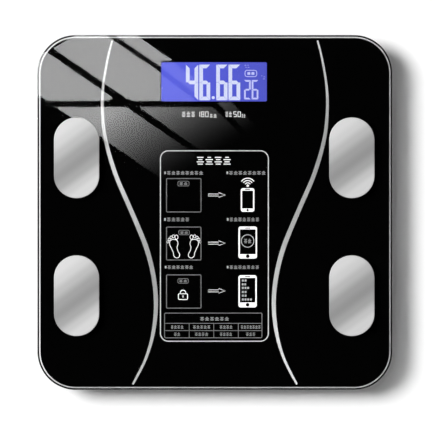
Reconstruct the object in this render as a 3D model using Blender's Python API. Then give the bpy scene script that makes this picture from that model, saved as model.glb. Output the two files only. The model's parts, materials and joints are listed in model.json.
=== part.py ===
"""Digital bathroom scale with a glass platform, four contact electrodes and four load-cell feet.

The frame is the scale's own: the origin is on the floor under the middle of the platform, +Z is up, and
+Y runs from the heels to the toes, where the display is. All sizes are in metres.
"""

import math

import bmesh
import bpy
from mathutils import Matrix, Vector

MM = 0.001

# Clearances
TOUCH = 0.3 * MM  # between two pieces that rest on each other
SLIDE_PLAY = 0.6 * MM  # round a piece that travels

# Glass platform
PLATFORM_WIDTH = 260 * MM
PLATFORM_DEPTH = 260 * MM
PLATFORM_CORNER = 28 * MM
GLASS_THICKNESS = 5 * MM
GLASS_EDGE_ROUND = 1.2 * MM
TAPE_THICKNESS = 0.5 * MM
TAPE_STRIP = 6 * MM  # strip that joins each corner's disc to the ring of tape

# Electrodes on the glass
ELECTRODE_WIDTH = 34 * MM
ELECTRODE_LENGTH = 60 * MM
ELECTRODE_THICKNESS = 0.4 * MM
ELECTRODE_EDGE_DISTANCE = 29.2 * MM  # from the platform's side to the electrode's middle
TOE_ELECTRODE_Y = 40 * MM
HEEL_ELECTRODE_Y = -61 * MM
STUD_OFFSET = 13 * MM  # from the electrode's middle towards the platform's middle
STUD_RADIUS = 1.6 * MM
STUD_HOLE_RADIUS = 2.5 * MM
STUD_WASHER_RADIUS = 4 * MM
STUD_WASHER_THICKNESS = 0.8 * MM
STUD_NUT_RADIUS = 3.2 * MM
STUD_NUT_HEIGHT = 1.8 * MM
STUD_TAIL = 0.7 * MM

# Base tray
FLOOR_GAP = 4 * MM  # from the floor to the tray's underside
WALL = 2 * MM
TRAY_INSET = 10 * MM  # the glass overhangs the tray by this much
TRAY_ROUND = 3 * MM
FLANGE_OVERHANG = 5 * MM
FLANGE_THICKNESS = 1.8 * MM
RIB_THICKNESS = 1.5 * MM
RIB_HEIGHT = 3.5 * MM
SIDE_RIB_X = 60 * MM
CROSS_RIBS_Y = (-62 * MM, -30 * MM, 34 * MM)

# Feet and load cells
FOOT_RADIUS = 17 * MM
FOOT_RIM_HEIGHT = 0.9 * MM
FOOT_DISC_TOP = 7.5 * MM
FOOT_POST_RADIUS = 4 * MM
FOOT_LUG_HEIGHT = 1.2 * MM
FOOT_LUG_WIDTH = 6 * MM
PAD_RADIUS = 14.5 * MM
PAD_THICKNESS = 1.8 * MM
CELL_WIDTH = 28 * MM
CELL_CHAMFER = 5 * MM
CELL_THICKNESS = 1.4 * MM
CELL_SLOT = 1.6 * MM
CELL_TONGUE_WIDTH = 12 * MM
CARRIER_THICKNESS = 2.3 * MM
CARRIER_OPENING_RADIUS = 9 * MM
GROOVE_DEPTH = 1.6 * MM
GROOVE_HEIGHT = 2.6 * MM
TOWER_WALL = 1.8 * MM
TOWER_CLEARANCE = 3 * MM  # from the tower to the tray's wall
ROOF_RECESS_RADIUS = 11 * MM
ROOF_RECESS_DEPTH = 1.5 * MM

# Display
WINDOW_WIDTH = 78 * MM
WINDOW_DEPTH = 29 * MM
PANEL_MARGIN_X = 3 * MM
PANEL_MARGIN_Y = 2.5 * MM
PANEL_THICKNESS = 2 * MM
BACKLIGHT_THICKNESS = 2.6 * MM
STRIP_HEIGHT = 4.2 * MM
STRIP_THICKNESS = 2 * MM
HOLDER_WALL = 2 * MM
DISPLAY_EDGE_CLEARANCE = 3.2 * MM  # from the display holder to the tray's wall

# Circuit board
BOARD_THICKNESS = 1.6 * MM
BOARD_MARGIN = 1.5 * MM  # past the display holder's upper edge
BOARD_SIDE_MARGIN = 9.7 * MM  # past its sides, room for screws and solder pads
BOARD_LOWER_AREA = 23 * MM  # the part of the board below the display
BOARD_UNDER_SPACE = 4.4 * MM
BOSS_RADIUS = 3.4 * MM
SCREW_RADIUS = 1.1 * MM
SCREW_HEAD_RADIUS = 2.4 * MM
SCREW_HEAD_HEIGHT = 1.5 * MM
SCREW_INSET = 4.5 * MM
CHIP_SIZE = 12 * MM
CHIP_X = -8 * MM  # across from the middle of the board
CHIP_THICKNESS = 1.4 * MM
RADIO_WIDTH = 16 * MM
RADIO_DEPTH = 11 * MM

# Unit button
BUTTON_X = 26 * MM
BUTTON_RADIUS = 3.7 * MM
BUTTON_FLANGE_RADIUS = 5.2 * MM
BUTTON_FLANGE_THICKNESS = 0.7 * MM
BUTTON_RECESS = 0.3 * MM
SWITCH_SIZE = 6 * MM
SWITCH_HEIGHT = 2 * MM
PLUNGER_RADIUS = 1.5 * MM
PLUNGER_REACH = 0.8 * MM  # how far the plunger stands inside the switch

# Batteries and their compartment
BATTERY_DIAMETER = 10.5 * MM
BATTERY_LENGTH = 44.5 * MM
BATTERY_NUB_RADIUS = 1.9 * MM
BATTERY_NUB_LENGTH = 1 * MM
BATTERY_SPACING = 0.7 * MM
BATTERY_PLAY = 0.4 * MM
CONTACT_THICKNESS = 0.4 * MM
CONTACT_WIDTH = 8 * MM
CONTACT_HEIGHT = 8.5 * MM
CONTACT_BUMP = 1 * MM
SPRING_LENGTH = 6.2 * MM
SPRING_WIRE = 0.6 * MM
SPRING_TURNS = 4
SPRING_WIDE_RADIUS = 3.6 * MM
SPRING_NARROW_RADIUS = 2.2 * MM
COMPARTMENT_ROOF = 1.2 * MM
COMPARTMENT_WALL = 2.4 * MM

# Battery door
DOOR_THICKNESS = 1.6 * MM
DOOR_LEDGE = 2.5 * MM  # how far the door's opening is wider than the compartment
HOOK_WIDTH = 6 * MM
HOOK_SPREAD = 15 * MM
HOOK_REACH = 1.2 * MM
LATCH_WIDTH = 12 * MM
LATCH_HEIGHT = 3.4 * MM

# Leads
CELL_LEAD_RADIUS = 1 * MM
ELECTRODE_LEAD_RADIUS = 0.65 * MM
BATTERY_LEAD_RADIUS = 0.7 * MM
LEAD_HOLE = 3.4 * MM
LEAD_STEP = 5 * MM  # between the points of a lead's route
SHORT_LEAD_STEP = 2.5 * MM

# Label on the underside
LABEL_WIDTH = 62 * MM
LABEL_DEPTH = 34 * MM
LABEL_THICKNESS = 0.3 * MM
LABEL_Y = -56 * MM

# Heights, worked out from the floor up
TRAY_BOTTOM = FLOOR_GAP
TRAY_FLOOR = TRAY_BOTTOM + WALL
TAPE_STACK = TOUCH + TAPE_THICKNESS + TOUCH
DISPLAY_STACK = TOUCH + STRIP_HEIGHT + TOUCH + PANEL_THICKNESS + TOUCH
BATTERY_NEED = DOOR_THICKNESS + BATTERY_PLAY + BATTERY_DIAMETER + TOUCH + COMPARTMENT_ROOF
DISPLAY_NEED = WALL + BOARD_UNDER_SPACE + BOARD_THICKNESS + DISPLAY_STACK - TAPE_STACK
TRAY_TOP = TRAY_BOTTOM + max(BATTERY_NEED, DISPLAY_NEED)
GLASS_BOTTOM = TRAY_TOP + TAPE_STACK
GLASS_TOP = GLASS_BOTTOM + GLASS_THICKNESS
ELECTRODE_BOTTOM = GLASS_TOP + TOUCH
BOARD_TOP = GLASS_BOTTOM - DISPLAY_STACK
BOARD_BOTTOM = BOARD_TOP - BOARD_THICKNESS
PANEL_BOTTOM = GLASS_BOTTOM - TOUCH - PANEL_THICKNESS
BATTERY_AXIS = TRAY_BOTTOM + DOOR_THICKNESS + BATTERY_PLAY + BATTERY_DIAMETER / 2
COMPARTMENT_TOP = BATTERY_AXIS + BATTERY_DIAMETER / 2 + TOUCH
DOOR_TOP = TRAY_BOTTOM + DOOR_THICKNESS
LEAD_HEIGHT = TRAY_FLOOR + RIB_HEIGHT + TOUCH + CELL_LEAD_RADIUS
CELL_BOTTOM = TRAY_TOP - WALL - ROOF_RECESS_DEPTH - TOUCH * 4 - CELL_THICKNESS
CELL_TOP = CELL_BOTTOM + CELL_THICKNESS
SOCKET_TOP = CELL_TOP + TOUCH
CARRIER_TOP = CELL_BOTTOM - TOUCH
CARRIER_BOTTOM = CARRIER_TOP - CARRIER_THICKNESS

# Places in plan
TRAY_WIDTH = PLATFORM_WIDTH - 2 * TRAY_INSET
TRAY_DEPTH = PLATFORM_DEPTH - 2 * TRAY_INSET
TRAY_CORNER = PLATFORM_CORNER - TRAY_INSET
CAVITY_WIDTH = TRAY_WIDTH - 2 * WALL
CAVITY_DEPTH = TRAY_DEPTH - 2 * WALL
CELL_REACH = math.hypot(CELL_WIDTH / 2, CELL_WIDTH / 2 - CELL_CHAMFER)
SOCKET_RADIUS = max(FOOT_RADIUS, CELL_REACH + TOUCH) + SLIDE_PLAY
GROOVE_RADIUS = SOCKET_RADIUS + GROOVE_DEPTH
TOWER_RADIUS = GROOVE_RADIUS + TOWER_WALL
FOOT_X = CAVITY_WIDTH / 2 - TOWER_CLEARANCE - TOWER_RADIUS
FOOT_Y = CAVITY_DEPTH / 2 - TOWER_CLEARANCE - TOWER_RADIUS
ELECTRODE_X = PLATFORM_WIDTH / 2 - ELECTRODE_EDGE_DISTANCE
PANEL_WIDTH = WINDOW_WIDTH + 2 * PANEL_MARGIN_X
PANEL_DEPTH = WINDOW_DEPTH + 2 * PANEL_MARGIN_Y
HOLDER_WIDTH = PANEL_WIDTH + 2 * (TOUCH + HOLDER_WALL)
HOLDER_DEPTH = PANEL_DEPTH + 2 * (TOUCH + HOLDER_WALL)
DISPLAY_Y = CAVITY_DEPTH / 2 - DISPLAY_EDGE_CLEARANCE - HOLDER_DEPTH / 2
BOARD_WIDTH = HOLDER_WIDTH + 2 * BOARD_SIDE_MARGIN
BOARD_UPPER_EDGE = DISPLAY_Y + HOLDER_DEPTH / 2 + BOARD_MARGIN
BOARD_LOWER_EDGE = DISPLAY_Y - HOLDER_DEPTH / 2 - BOARD_LOWER_AREA
SCREW_X = BOARD_WIDTH / 2 - SCREW_INSET
LOWER_SCREW_Y = BOARD_LOWER_EDGE + SCREW_INSET
UPPER_SCREW_Y = BOARD_UPPER_EDGE - SCREW_INSET
BUTTON_Y = BOARD_LOWER_EDGE + BOARD_LOWER_AREA / 2
BATTERY_PITCH = BATTERY_DIAMETER + BATTERY_SPACING
CONTACT_STACK = TOUCH + CONTACT_THICKNESS + TOUCH
COMPARTMENT_LENGTH = BATTERY_LENGTH + SPRING_LENGTH + CONTACT_BUMP + 2 * CONTACT_STACK + 3 * TOUCH
COMPARTMENT_DEPTH = 2 * BATTERY_DIAMETER + BATTERY_SPACING + 6 * TOUCH
DOOR_OPENING_LENGTH = COMPARTMENT_LENGTH + 2 * DOOR_LEDGE
DOOR_OPENING_DEPTH = COMPARTMENT_DEPTH + 2 * DOOR_LEDGE
DOOR_LENGTH = DOOR_OPENING_LENGTH - 2 * TOUCH
DOOR_DEPTH = DOOR_OPENING_DEPTH - 2 * TOUCH
DOOR_AXIS_Y = -DOOR_DEPTH / 2

# Name of each corner: its side in x, its side in y
CORNERS = {
    "toe_left": (-1, 1),
    "toe_right": (1, 1),
    "heel_left": (-1, -1),
    "heel_right": (1, -1),
}

# Colour, metallic value and roughness of each material
MATERIALS = {
    "black_glass": ((0.004, 0.004, 0.005), 0.0, 0.03),
    "satin_steel": ((0.62, 0.62, 0.62), 1.0, 0.32),
    "plated_brass": ((0.70, 0.62, 0.38), 1.0, 0.30),
    "foam_tape": ((0.05, 0.05, 0.05), 0.0, 0.90),
    "black_plastic": ((0.02, 0.02, 0.022), 0.0, 0.45),
    "grey_rubber": ((0.16, 0.16, 0.17), 0.0, 0.80),
    "spring_steel": ((0.55, 0.55, 0.56), 1.0, 0.35),
    "board_green": ((0.02, 0.16, 0.07), 0.0, 0.40),
    "chip_black": ((0.015, 0.015, 0.015), 0.0, 0.50),
    "display_blue": ((0.11, 0.11, 0.72), 0.0, 0.20),
    "backlight_white": ((0.85, 0.86, 0.90), 0.0, 0.40),
    "white_plastic": ((0.80, 0.80, 0.78), 0.0, 0.45),
    "connector_rubber": ((0.75, 0.35, 0.45), 0.0, 0.70),
    "battery_wrap": ((0.10, 0.12, 0.16), 0.3, 0.35),
    "label_paper": ((0.72, 0.72, 0.72), 0.0, 0.60),
    "lead_black": ((0.02, 0.02, 0.02), 0.0, 0.50),
    "lead_red": ((0.45, 0.02, 0.02), 0.0, 0.50),
    "lead_white": ((0.75, 0.75, 0.75), 0.0, 0.50),
}


# ---- outlines -------------------------------------------------------------------------------------


def rounded_outline(width, depth, radius=0.0, steps=0, centre=(0.0, 0.0)):
    """Points of a rounded rectangle, counter-clockwise; steps is the number of chords in each corner."""
    points = []
    for side_x, side_y, start in ((1, 1, 0), (-1, 1, 90), (-1, -1, 180), (1, -1, 270)):
        corner_x = centre[0] + side_x * (width / 2 - radius)
        corner_y = centre[1] + side_y * (depth / 2 - radius)
        for i in range(steps + 1):
            angle = math.radians(start + (90 * i / steps if steps else 0))
            point = (corner_x + radius * math.cos(angle), corner_y + radius * math.sin(angle))
            if not points or math.dist(point, points[-1]) > 1e-7:
                points.append(point)
    return points


def chamfered_outline(width, chamfer):
    """Points of a square with cut corners, counter-clockwise."""
    half = width / 2
    near = half - chamfer
    quarter = ((half, near), (near, half))
    points = []
    for turn in range(4):
        for x, y in quarter:
            for _ in range(turn):
                x, y = -y, x
            points.append((x, y))
    return points


def circle_outline(radius, steps, centre=(0.0, 0.0)):
    """Points of a circle, counter-clockwise."""
    angles = [2 * math.pi * i / steps for i in range(steps)]
    return [(centre[0] + radius * math.cos(a), centre[1] + radius * math.sin(a)) for a in angles]


# ---- solids ---------------------------------------------------------------------------------------


def add_loft(bm, rings):
    """Adds a closed body through rings of equally many points, each ring being (outline, height)."""
    loops = [[bm.verts.new((x, y, z)) for x, y in outline] for outline, z in rings]
    for lower, upper in zip(loops, loops[1:]):
        for i in range(len(lower)):
            j = (i + 1) % len(lower)
            bm.faces.new((lower[i], lower[j], upper[j], upper[i]))
    bm.faces.new(reversed(loops[0]))
    bm.faces.new(loops[-1])


def add_prism(bm, outline, low, high):
    """Adds an upright prism on an outline."""
    add_loft(bm, [(outline, low), (outline, high)])


def add_box(bm, low, high):
    """Adds a box between two corners."""
    centre = ((low[0] + high[0]) / 2, (low[1] + high[1]) / 2)
    outline = rounded_outline(high[0] - low[0], high[1] - low[1], centre=centre)
    add_prism(bm, outline, low[2], high[2])


def add_stack(bm, profile, steps, centre=(0.0, 0.0)):
    """Adds a turned body on a vertical axis from (radius, height) pairs, lowest first."""
    add_loft(bm, [(circle_outline(radius, steps, centre), z) for radius, z in profile])


def new_object(name, data, material=None, parent=None, location=(0.0, 0.0, 0.0)):
    """Links an object made from a mesh or a curve."""
    obj = bpy.data.objects.new(name, data)
    bpy.context.scene.collection.objects.link(obj)
    if material and not data.materials:
        data.materials.append(bpy.data.materials[material])
    obj.parent = parent
    obj.location = location
    return obj


def mesh_from(name, bm):
    """Turns a bmesh into a mesh whose faces point out, shaded smooth between its sharp edges."""
    bmesh.ops.recalc_face_normals(bm, faces=bm.faces)
    mesh = bpy.data.meshes.new(name)
    bm.to_mesh(mesh)
    bm.free()
    mesh.shade_smooth()
    mesh.set_sharp_from_angle(angle=math.radians(35))
    return mesh


def boolean(mesh, operation, bm):
    """Cuts the shapes in bm out of a mesh, or joins them to it, and returns the result."""
    tool = new_object("tool", mesh_from("tool", bm))
    tool.hide_render = True
    tool.display_type = "WIRE"
    body = new_object("body", mesh)
    modifier = body.modifiers.new(operation.title(), "BOOLEAN")
    modifier.operation = operation
    modifier.solver = "EXACT"
    modifier.object = tool
    graph = bpy.context.evaluated_depsgraph_get()
    result = bpy.data.meshes.new_from_object(body.evaluated_get(graph))
    result.name = mesh.name
    for helper in (body, tool):
        bpy.data.objects.remove(helper)
    return result


def cut(mesh, bm):
    return boolean(mesh, "DIFFERENCE", bm)


def join(mesh, bm):
    return boolean(mesh, "UNION", bm)


# ---- platform -------------------------------------------------------------------------------------


def electrode_places():
    """Middle of each electrode, and of its stud, in plan."""
    places = {}
    for name, (side_x, side_y) in CORNERS.items():
        y = TOE_ELECTRODE_Y if side_y > 0 else HEEL_ELECTRODE_Y
        places[name] = (side_x * ELECTRODE_X, y, y - side_y * STUD_OFFSET)
    return places


def edge_rings(width, depth, corner, low, high, rounding, steps, corner_steps, round_top=True):
    """Rings of a slab whose lower edge, and upper edge if wanted, are rounded by an arc."""
    arc = [math.radians(90 * i / steps) for i in range(steps + 1)]
    levels = [(rounding * (1 - math.sin(a)), low + rounding * (1 - math.cos(a))) for a in arc]
    if round_top:
        levels += [(inset, low + high - z) for inset, z in reversed(levels)]
    else:
        levels.append((0.0, high))
    return [
        (rounded_outline(width - 2 * inset, depth - 2 * inset, corner - inset, corner_steps), z)
        for inset, z in levels
    ]


def make_platform(parent):
    """Toughened glass slab with ground edges and a hole for each electrode's stud."""
    bm = bmesh.new()
    rings = edge_rings(
        PLATFORM_WIDTH, PLATFORM_DEPTH, PLATFORM_CORNER,
        0.0, GLASS_THICKNESS, GLASS_EDGE_ROUND, steps=3, corner_steps=12,
    )
    add_loft(bm, rings)
    mesh = mesh_from("glass_platform", bm)
    hole = [(STUD_HOLE_RADIUS, -MM), (STUD_HOLE_RADIUS, GLASS_THICKNESS + MM)]
    holes = bmesh.new()
    for x, _, stud_y in electrode_places().values():
        add_stack(holes, hole, 12, (x, stud_y))
    new_object("glass_platform", cut(mesh, holes), "black_glass", parent, (0, 0, GLASS_BOTTOM))


def make_electrodes(parent):
    """Pressed steel plates on the glass, and the studs that clamp them and carry their signal down."""
    bm = bmesh.new()
    outline = rounded_outline(ELECTRODE_WIDTH, ELECTRODE_LENGTH, ELECTRODE_WIDTH / 2, 10)
    add_prism(bm, outline, 0, ELECTRODE_THICKNESS)
    plate = mesh_from("electrode_plate", bm)
    plate.materials.append(bpy.data.materials["satin_steel"])

    washer_top = GLASS_BOTTOM - TOUCH - ELECTRODE_BOTTOM
    washer_bottom = washer_top - STUD_WASHER_THICKNESS
    nut_bottom = washer_bottom - STUD_NUT_HEIGHT
    bm = bmesh.new()
    profile = [
        (STUD_RADIUS, nut_bottom - STUD_TAIL),
        (STUD_RADIUS, washer_bottom),
        (STUD_WASHER_RADIUS, washer_bottom),
        (STUD_WASHER_RADIUS, washer_top),
        (STUD_RADIUS, washer_top),
        (STUD_RADIUS, -TOUCH),
    ]
    add_stack(bm, profile, 12)
    stud = mesh_from("electrode_stud", bm)
    nut = bmesh.new()
    washer_middle = washer_bottom + STUD_WASHER_THICKNESS / 2
    add_prism(nut, circle_outline(STUD_NUT_RADIUS, 6), nut_bottom, washer_middle)
    stud = join(stud, nut)
    stud.materials.append(bpy.data.materials["plated_brass"])
    for name, (x, y, stud_y) in electrode_places().items():
        new_object("electrode_plate_" + name, plate, None, parent, (x, y, ELECTRODE_BOTTOM))
        new_object("electrode_stud_" + name, stud, None, parent, (x, stud_y, ELECTRODE_BOTTOM))


def make_tape(parent):
    """Foam tape that bonds the glass to the tray's flange and to the roofs of its four towers."""
    outer_inset = TRAY_INSET - FLANGE_OVERHANG + TOUCH
    ring_outer = rounded_outline(
        PLATFORM_WIDTH - 2 * outer_inset, PLATFORM_DEPTH - 2 * outer_inset, PLATFORM_CORNER - outer_inset, 8
    )
    bm = bmesh.new()
    add_prism(bm, ring_outer, 0, TAPE_THICKNESS)
    mesh = mesh_from("bonding_tape", bm)
    hole = bmesh.new()
    hole_outline = rounded_outline(
        CAVITY_WIDTH + 2 * TOUCH, CAVITY_DEPTH + 2 * TOUCH, TRAY_CORNER - WALL, 8
    )
    add_prism(hole, hole_outline, -MM, TAPE_THICKNESS + MM)
    mesh = cut(mesh, hole)
    for side_x, side_y in CORNERS.values():
        centre = (side_x * FOOT_X, side_y * FOOT_Y)
        disc = bmesh.new()
        add_stack(disc, [(TOWER_RADIUS, 0), (TOWER_RADIUS, TAPE_THICKNESS)], 24, centre)
        mesh = join(mesh, disc)
        strip = bmesh.new()
        ends = (side_y * (FOOT_Y + TOWER_RADIUS - MM), side_y * (CAVITY_DEPTH / 2 + WALL))
        left, right = centre[0] - TAPE_STRIP / 2, centre[0] + TAPE_STRIP / 2
        add_box(strip, (left, min(ends), 0), (right, max(ends), TAPE_THICKNESS))
        mesh = join(mesh, strip)
    new_object("bonding_tape", mesh, "foam_tape", parent, (0, 0, TRAY_TOP + TOUCH))


# ---- base tray ------------------------------------------------------------------------------------


def tray_body():
    """The tray's outer form with its flange, hollowed out from above."""
    bm = bmesh.new()
    rings = edge_rings(
        TRAY_WIDTH, TRAY_DEPTH, TRAY_CORNER,
        TRAY_BOTTOM, TRAY_TOP - FLANGE_THICKNESS, TRAY_ROUND, steps=2, corner_steps=8, round_top=False,
    )
    flange = rounded_outline(
        TRAY_WIDTH + 2 * FLANGE_OVERHANG, TRAY_DEPTH + 2 * FLANGE_OVERHANG, TRAY_CORNER + FLANGE_OVERHANG, 8
    )
    rings += [(flange, TRAY_TOP - FLANGE_THICKNESS), (flange, TRAY_TOP)]
    add_loft(bm, rings)
    mesh = mesh_from("base_tray", bm)
    cavity = bmesh.new()
    inner = rounded_outline(CAVITY_WIDTH, CAVITY_DEPTH, TRAY_CORNER - WALL, 8)
    add_prism(cavity, inner, TRAY_FLOOR, TRAY_TOP + MM)
    return cut(mesh, cavity)


def boss_places():
    """Plan position of each board screw."""
    return [(side * SCREW_X, y) for side in (-1, 1) for y in (LOWER_SCREW_Y, UPPER_SCREW_Y)]


def tray_features():
    """Bodies that stand on the tray's floor, each overlapping the floor or a wall."""
    root = TRAY_FLOOR - WALL / 2
    features = []
    half_rib = RIB_THICKNESS / 2
    rib_top = TRAY_FLOOR + RIB_HEIGHT
    for x in (-SIDE_RIB_X, SIDE_RIB_X):
        bm = bmesh.new()
        reach = CAVITY_DEPTH / 2 + WALL / 2
        add_box(bm, (x - half_rib, -reach, root), (x + half_rib, reach, rib_top))
        features.append(bm)
    for y in CROSS_RIBS_Y:
        bm = bmesh.new()
        reach = CAVITY_WIDTH / 2 + WALL / 2
        add_box(bm, (-reach, y - half_rib, root), (reach, y + half_rib, rib_top))
        features.append(bm)
    tower = [(TOWER_RADIUS, root), (TOWER_RADIUS, TRAY_TOP)]
    for side_x, side_y in CORNERS.values():
        bm = bmesh.new()
        add_stack(bm, tower, 24, (side_x * FOOT_X, side_y * FOOT_Y))
        features.append(bm)
    wall = 2 * COMPARTMENT_WALL
    surround = bmesh.new()
    surround_top = DOOR_TOP + LATCH_HEIGHT + 2 * MM
    surround_outline = rounded_outline(DOOR_OPENING_LENGTH + wall, DOOR_OPENING_DEPTH + wall)
    add_prism(surround, surround_outline, root, surround_top)
    features.append(surround)
    chamber = bmesh.new()
    chamber_outline = rounded_outline(COMPARTMENT_LENGTH + wall, COMPARTMENT_DEPTH + wall)
    add_prism(chamber, chamber_outline, root, TRAY_TOP)
    features.append(chamber)
    bosses = bmesh.new()
    for place in boss_places():
        add_stack(bosses, [(BOSS_RADIUS, root), (BOSS_RADIUS, BOARD_BOTTOM - TOUCH)], 12, place)
    features.append(bosses)
    return features


def tray_cuts():
    """Openings in the tray: foot sockets, lead slots, battery compartment, screw and button holes."""
    below = TRAY_BOTTOM - MM
    cuts = []
    sockets = bmesh.new()
    for side_x, side_y in CORNERS.values():
        profile = [
            (SOCKET_RADIUS, below),
            (SOCKET_RADIUS, TRAY_FLOOR),
            (GROOVE_RADIUS, TRAY_FLOOR),
            (GROOVE_RADIUS, TRAY_FLOOR + GROOVE_HEIGHT),
            (SOCKET_RADIUS, TRAY_FLOOR + GROOVE_HEIGHT),
            (SOCKET_RADIUS, SOCKET_TOP),
            (ROOF_RECESS_RADIUS, SOCKET_TOP),
            (ROOF_RECESS_RADIUS, SOCKET_TOP + ROOF_RECESS_DEPTH),
        ]
        add_stack(sockets, profile, 24, (side_x * FOOT_X, side_y * FOOT_Y))
    cuts.append(sockets)

    slots = bmesh.new()
    for name in CORNERS:
        slot = bmesh.new()
        add_box(
            slot,
            (CELL_WIDTH / 2 - TOUCH, -LEAD_HOLE / 2, CARRIER_TOP),
            (TOWER_RADIUS + MM, LEAD_HOLE / 2, SOCKET_TOP + CELL_LEAD_RADIUS),
        )
        bmesh.ops.transform(slot, matrix=corner_matrix(name), verts=slot.verts)
        scratch = bpy.data.meshes.new("slot")
        slot.to_mesh(scratch)
        slot.free()
        slots.from_mesh(scratch)
        bpy.data.meshes.remove(scratch)
    cuts.append(slots)

    opening = bmesh.new()
    add_prism(opening, rounded_outline(DOOR_OPENING_LENGTH, DOOR_OPENING_DEPTH), below, DOOR_TOP + TOUCH)
    cuts.append(opening)
    bay = bmesh.new()
    add_prism(bay, rounded_outline(COMPARTMENT_LENGTH, COMPARTMENT_DEPTH), below, COMPARTMENT_TOP)
    cuts.append(bay)
    pockets = bmesh.new()
    hook_back = DOOR_AXIS_Y - HOOK_REACH - 2 * TOUCH
    for side in (-1, 1):
        add_box(
            pockets,
            (side * HOOK_SPREAD - HOOK_WIDTH / 2 - TOUCH, hook_back, DOOR_TOP + TOUCH / 2),
            (side * HOOK_SPREAD + HOOK_WIDTH / 2 + TOUCH, -COMPARTMENT_DEPTH / 2 + MM, DOOR_TOP + 3 * MM),
        )
    add_box(
        pockets,
        (-LATCH_WIDTH / 2 - TOUCH, COMPARTMENT_DEPTH / 2 - MM, DOOR_TOP),
        (LATCH_WIDTH / 2 + TOUCH, DOOR_OPENING_DEPTH / 2, DOOR_TOP + LATCH_HEIGHT + MM),
    )
    cuts.append(pockets)
    thumb = bmesh.new()
    thumb_outline = rounded_outline(
        LATCH_WIDTH, 6 * MM, 2 * MM, 4, (0, DOOR_OPENING_DEPTH / 2 + 1.5 * MM)
    )
    add_prism(thumb, thumb_outline, below, TRAY_BOTTOM + WALL / 2)
    cuts.append(thumb)
    lead_holes = bmesh.new()
    wall_out = DOOR_OPENING_LENGTH / 2 + COMPARTMENT_WALL + MM
    for side in (-1, 1):
        y = side * BATTERY_PITCH / 2
        low = (-wall_out, y - LEAD_HOLE / 2, BATTERY_AXIS - LEAD_HOLE / 2)
        high = (-COMPARTMENT_LENGTH / 2 + TOUCH, y + LEAD_HOLE / 2, BATTERY_AXIS + LEAD_HOLE / 2)
        add_box(lead_holes, low, high)
    cuts.append(lead_holes)
    round_holes = bmesh.new()
    for place in boss_places():
        pilot = SCREW_RADIUS + TOUCH
        add_stack(round_holes, [(pilot, TRAY_FLOOR), (pilot, BOARD_BOTTOM + MM)], 12, place)
    button_hole = BUTTON_RADIUS + SLIDE_PLAY / 2
    add_stack(round_holes, [(button_hole, below), (button_hole, TRAY_FLOOR + MM)], 24, (BUTTON_X, BUTTON_Y))
    cuts.append(round_holes)
    return cuts


def make_tray(parent):
    mesh = tray_body()
    for feature in tray_features():
        mesh = join(mesh, feature)
    for opening in tray_cuts():
        mesh = cut(mesh, opening)
    new_object("base_tray", mesh, "black_plastic", parent)


def make_label(parent):
    """Blank rating label stuck under the tray."""
    bm = bmesh.new()
    add_prism(bm, rounded_outline(LABEL_WIDTH, LABEL_DEPTH, 3 * MM, 4), 0, LABEL_THICKNESS)
    place = (0, LABEL_Y, TRAY_BOTTOM - TOUCH - LABEL_THICKNESS)
    new_object("rating_label", mesh_from("rating_label", bm), "label_paper", parent, place)


# ---- feet and load cells --------------------------------------------------------------------------


def corner_matrix(name):
    """Places a corner's own frame: origin on the floor under the foot, +X towards the platform's middle."""
    side_x, side_y = CORNERS[name]
    turn = math.atan2(-side_y, -side_x)
    return Matrix.Translation((side_x * FOOT_X, side_y * FOOT_Y, 0)) @ Matrix.Rotation(turn, 4, "Z")


def load_cell_mesh():
    """Stamped steel plate with a U-shaped slot that frees a bending tongue."""
    bm = bmesh.new()
    add_prism(bm, chamfered_outline(CELL_WIDTH, CELL_CHAMFER), CELL_BOTTOM, CELL_TOP)
    mesh = mesh_from("load_cell", bm)
    reach = CELL_TONGUE_WIDTH / 2 + CELL_SLOT
    far = CELL_WIDTH / 2 - 3.5 * MM
    below, above = CELL_BOTTOM - MM, CELL_TOP + MM
    slot = bmesh.new()
    add_box(slot, (-far, -reach, below), (-far + CELL_SLOT, reach, above))
    mesh = cut(mesh, slot)
    for side in (-1, 1):
        leg = bmesh.new()
        edges = sorted((side * CELL_TONGUE_WIDTH / 2, side * reach))
        add_box(leg, (-far, edges[0], below), (far - CELL_SLOT, edges[1], above))
        mesh = cut(mesh, leg)
    return mesh


def carrier_mesh():
    """Plastic ring that holds the load cell up against the tower's roof."""
    bm = bmesh.new()
    radius = SOCKET_RADIUS - TOUCH
    add_stack(bm, [(radius, CARRIER_BOTTOM), (radius, CARRIER_TOP)], 24)
    mesh = mesh_from("load_cell_carrier", bm)
    opening = bmesh.new()
    add_stack(opening, [(CARRIER_OPENING_RADIUS, 0), (CARRIER_OPENING_RADIUS, CARRIER_TOP + MM)], 16)
    return cut(mesh, opening)


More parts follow.
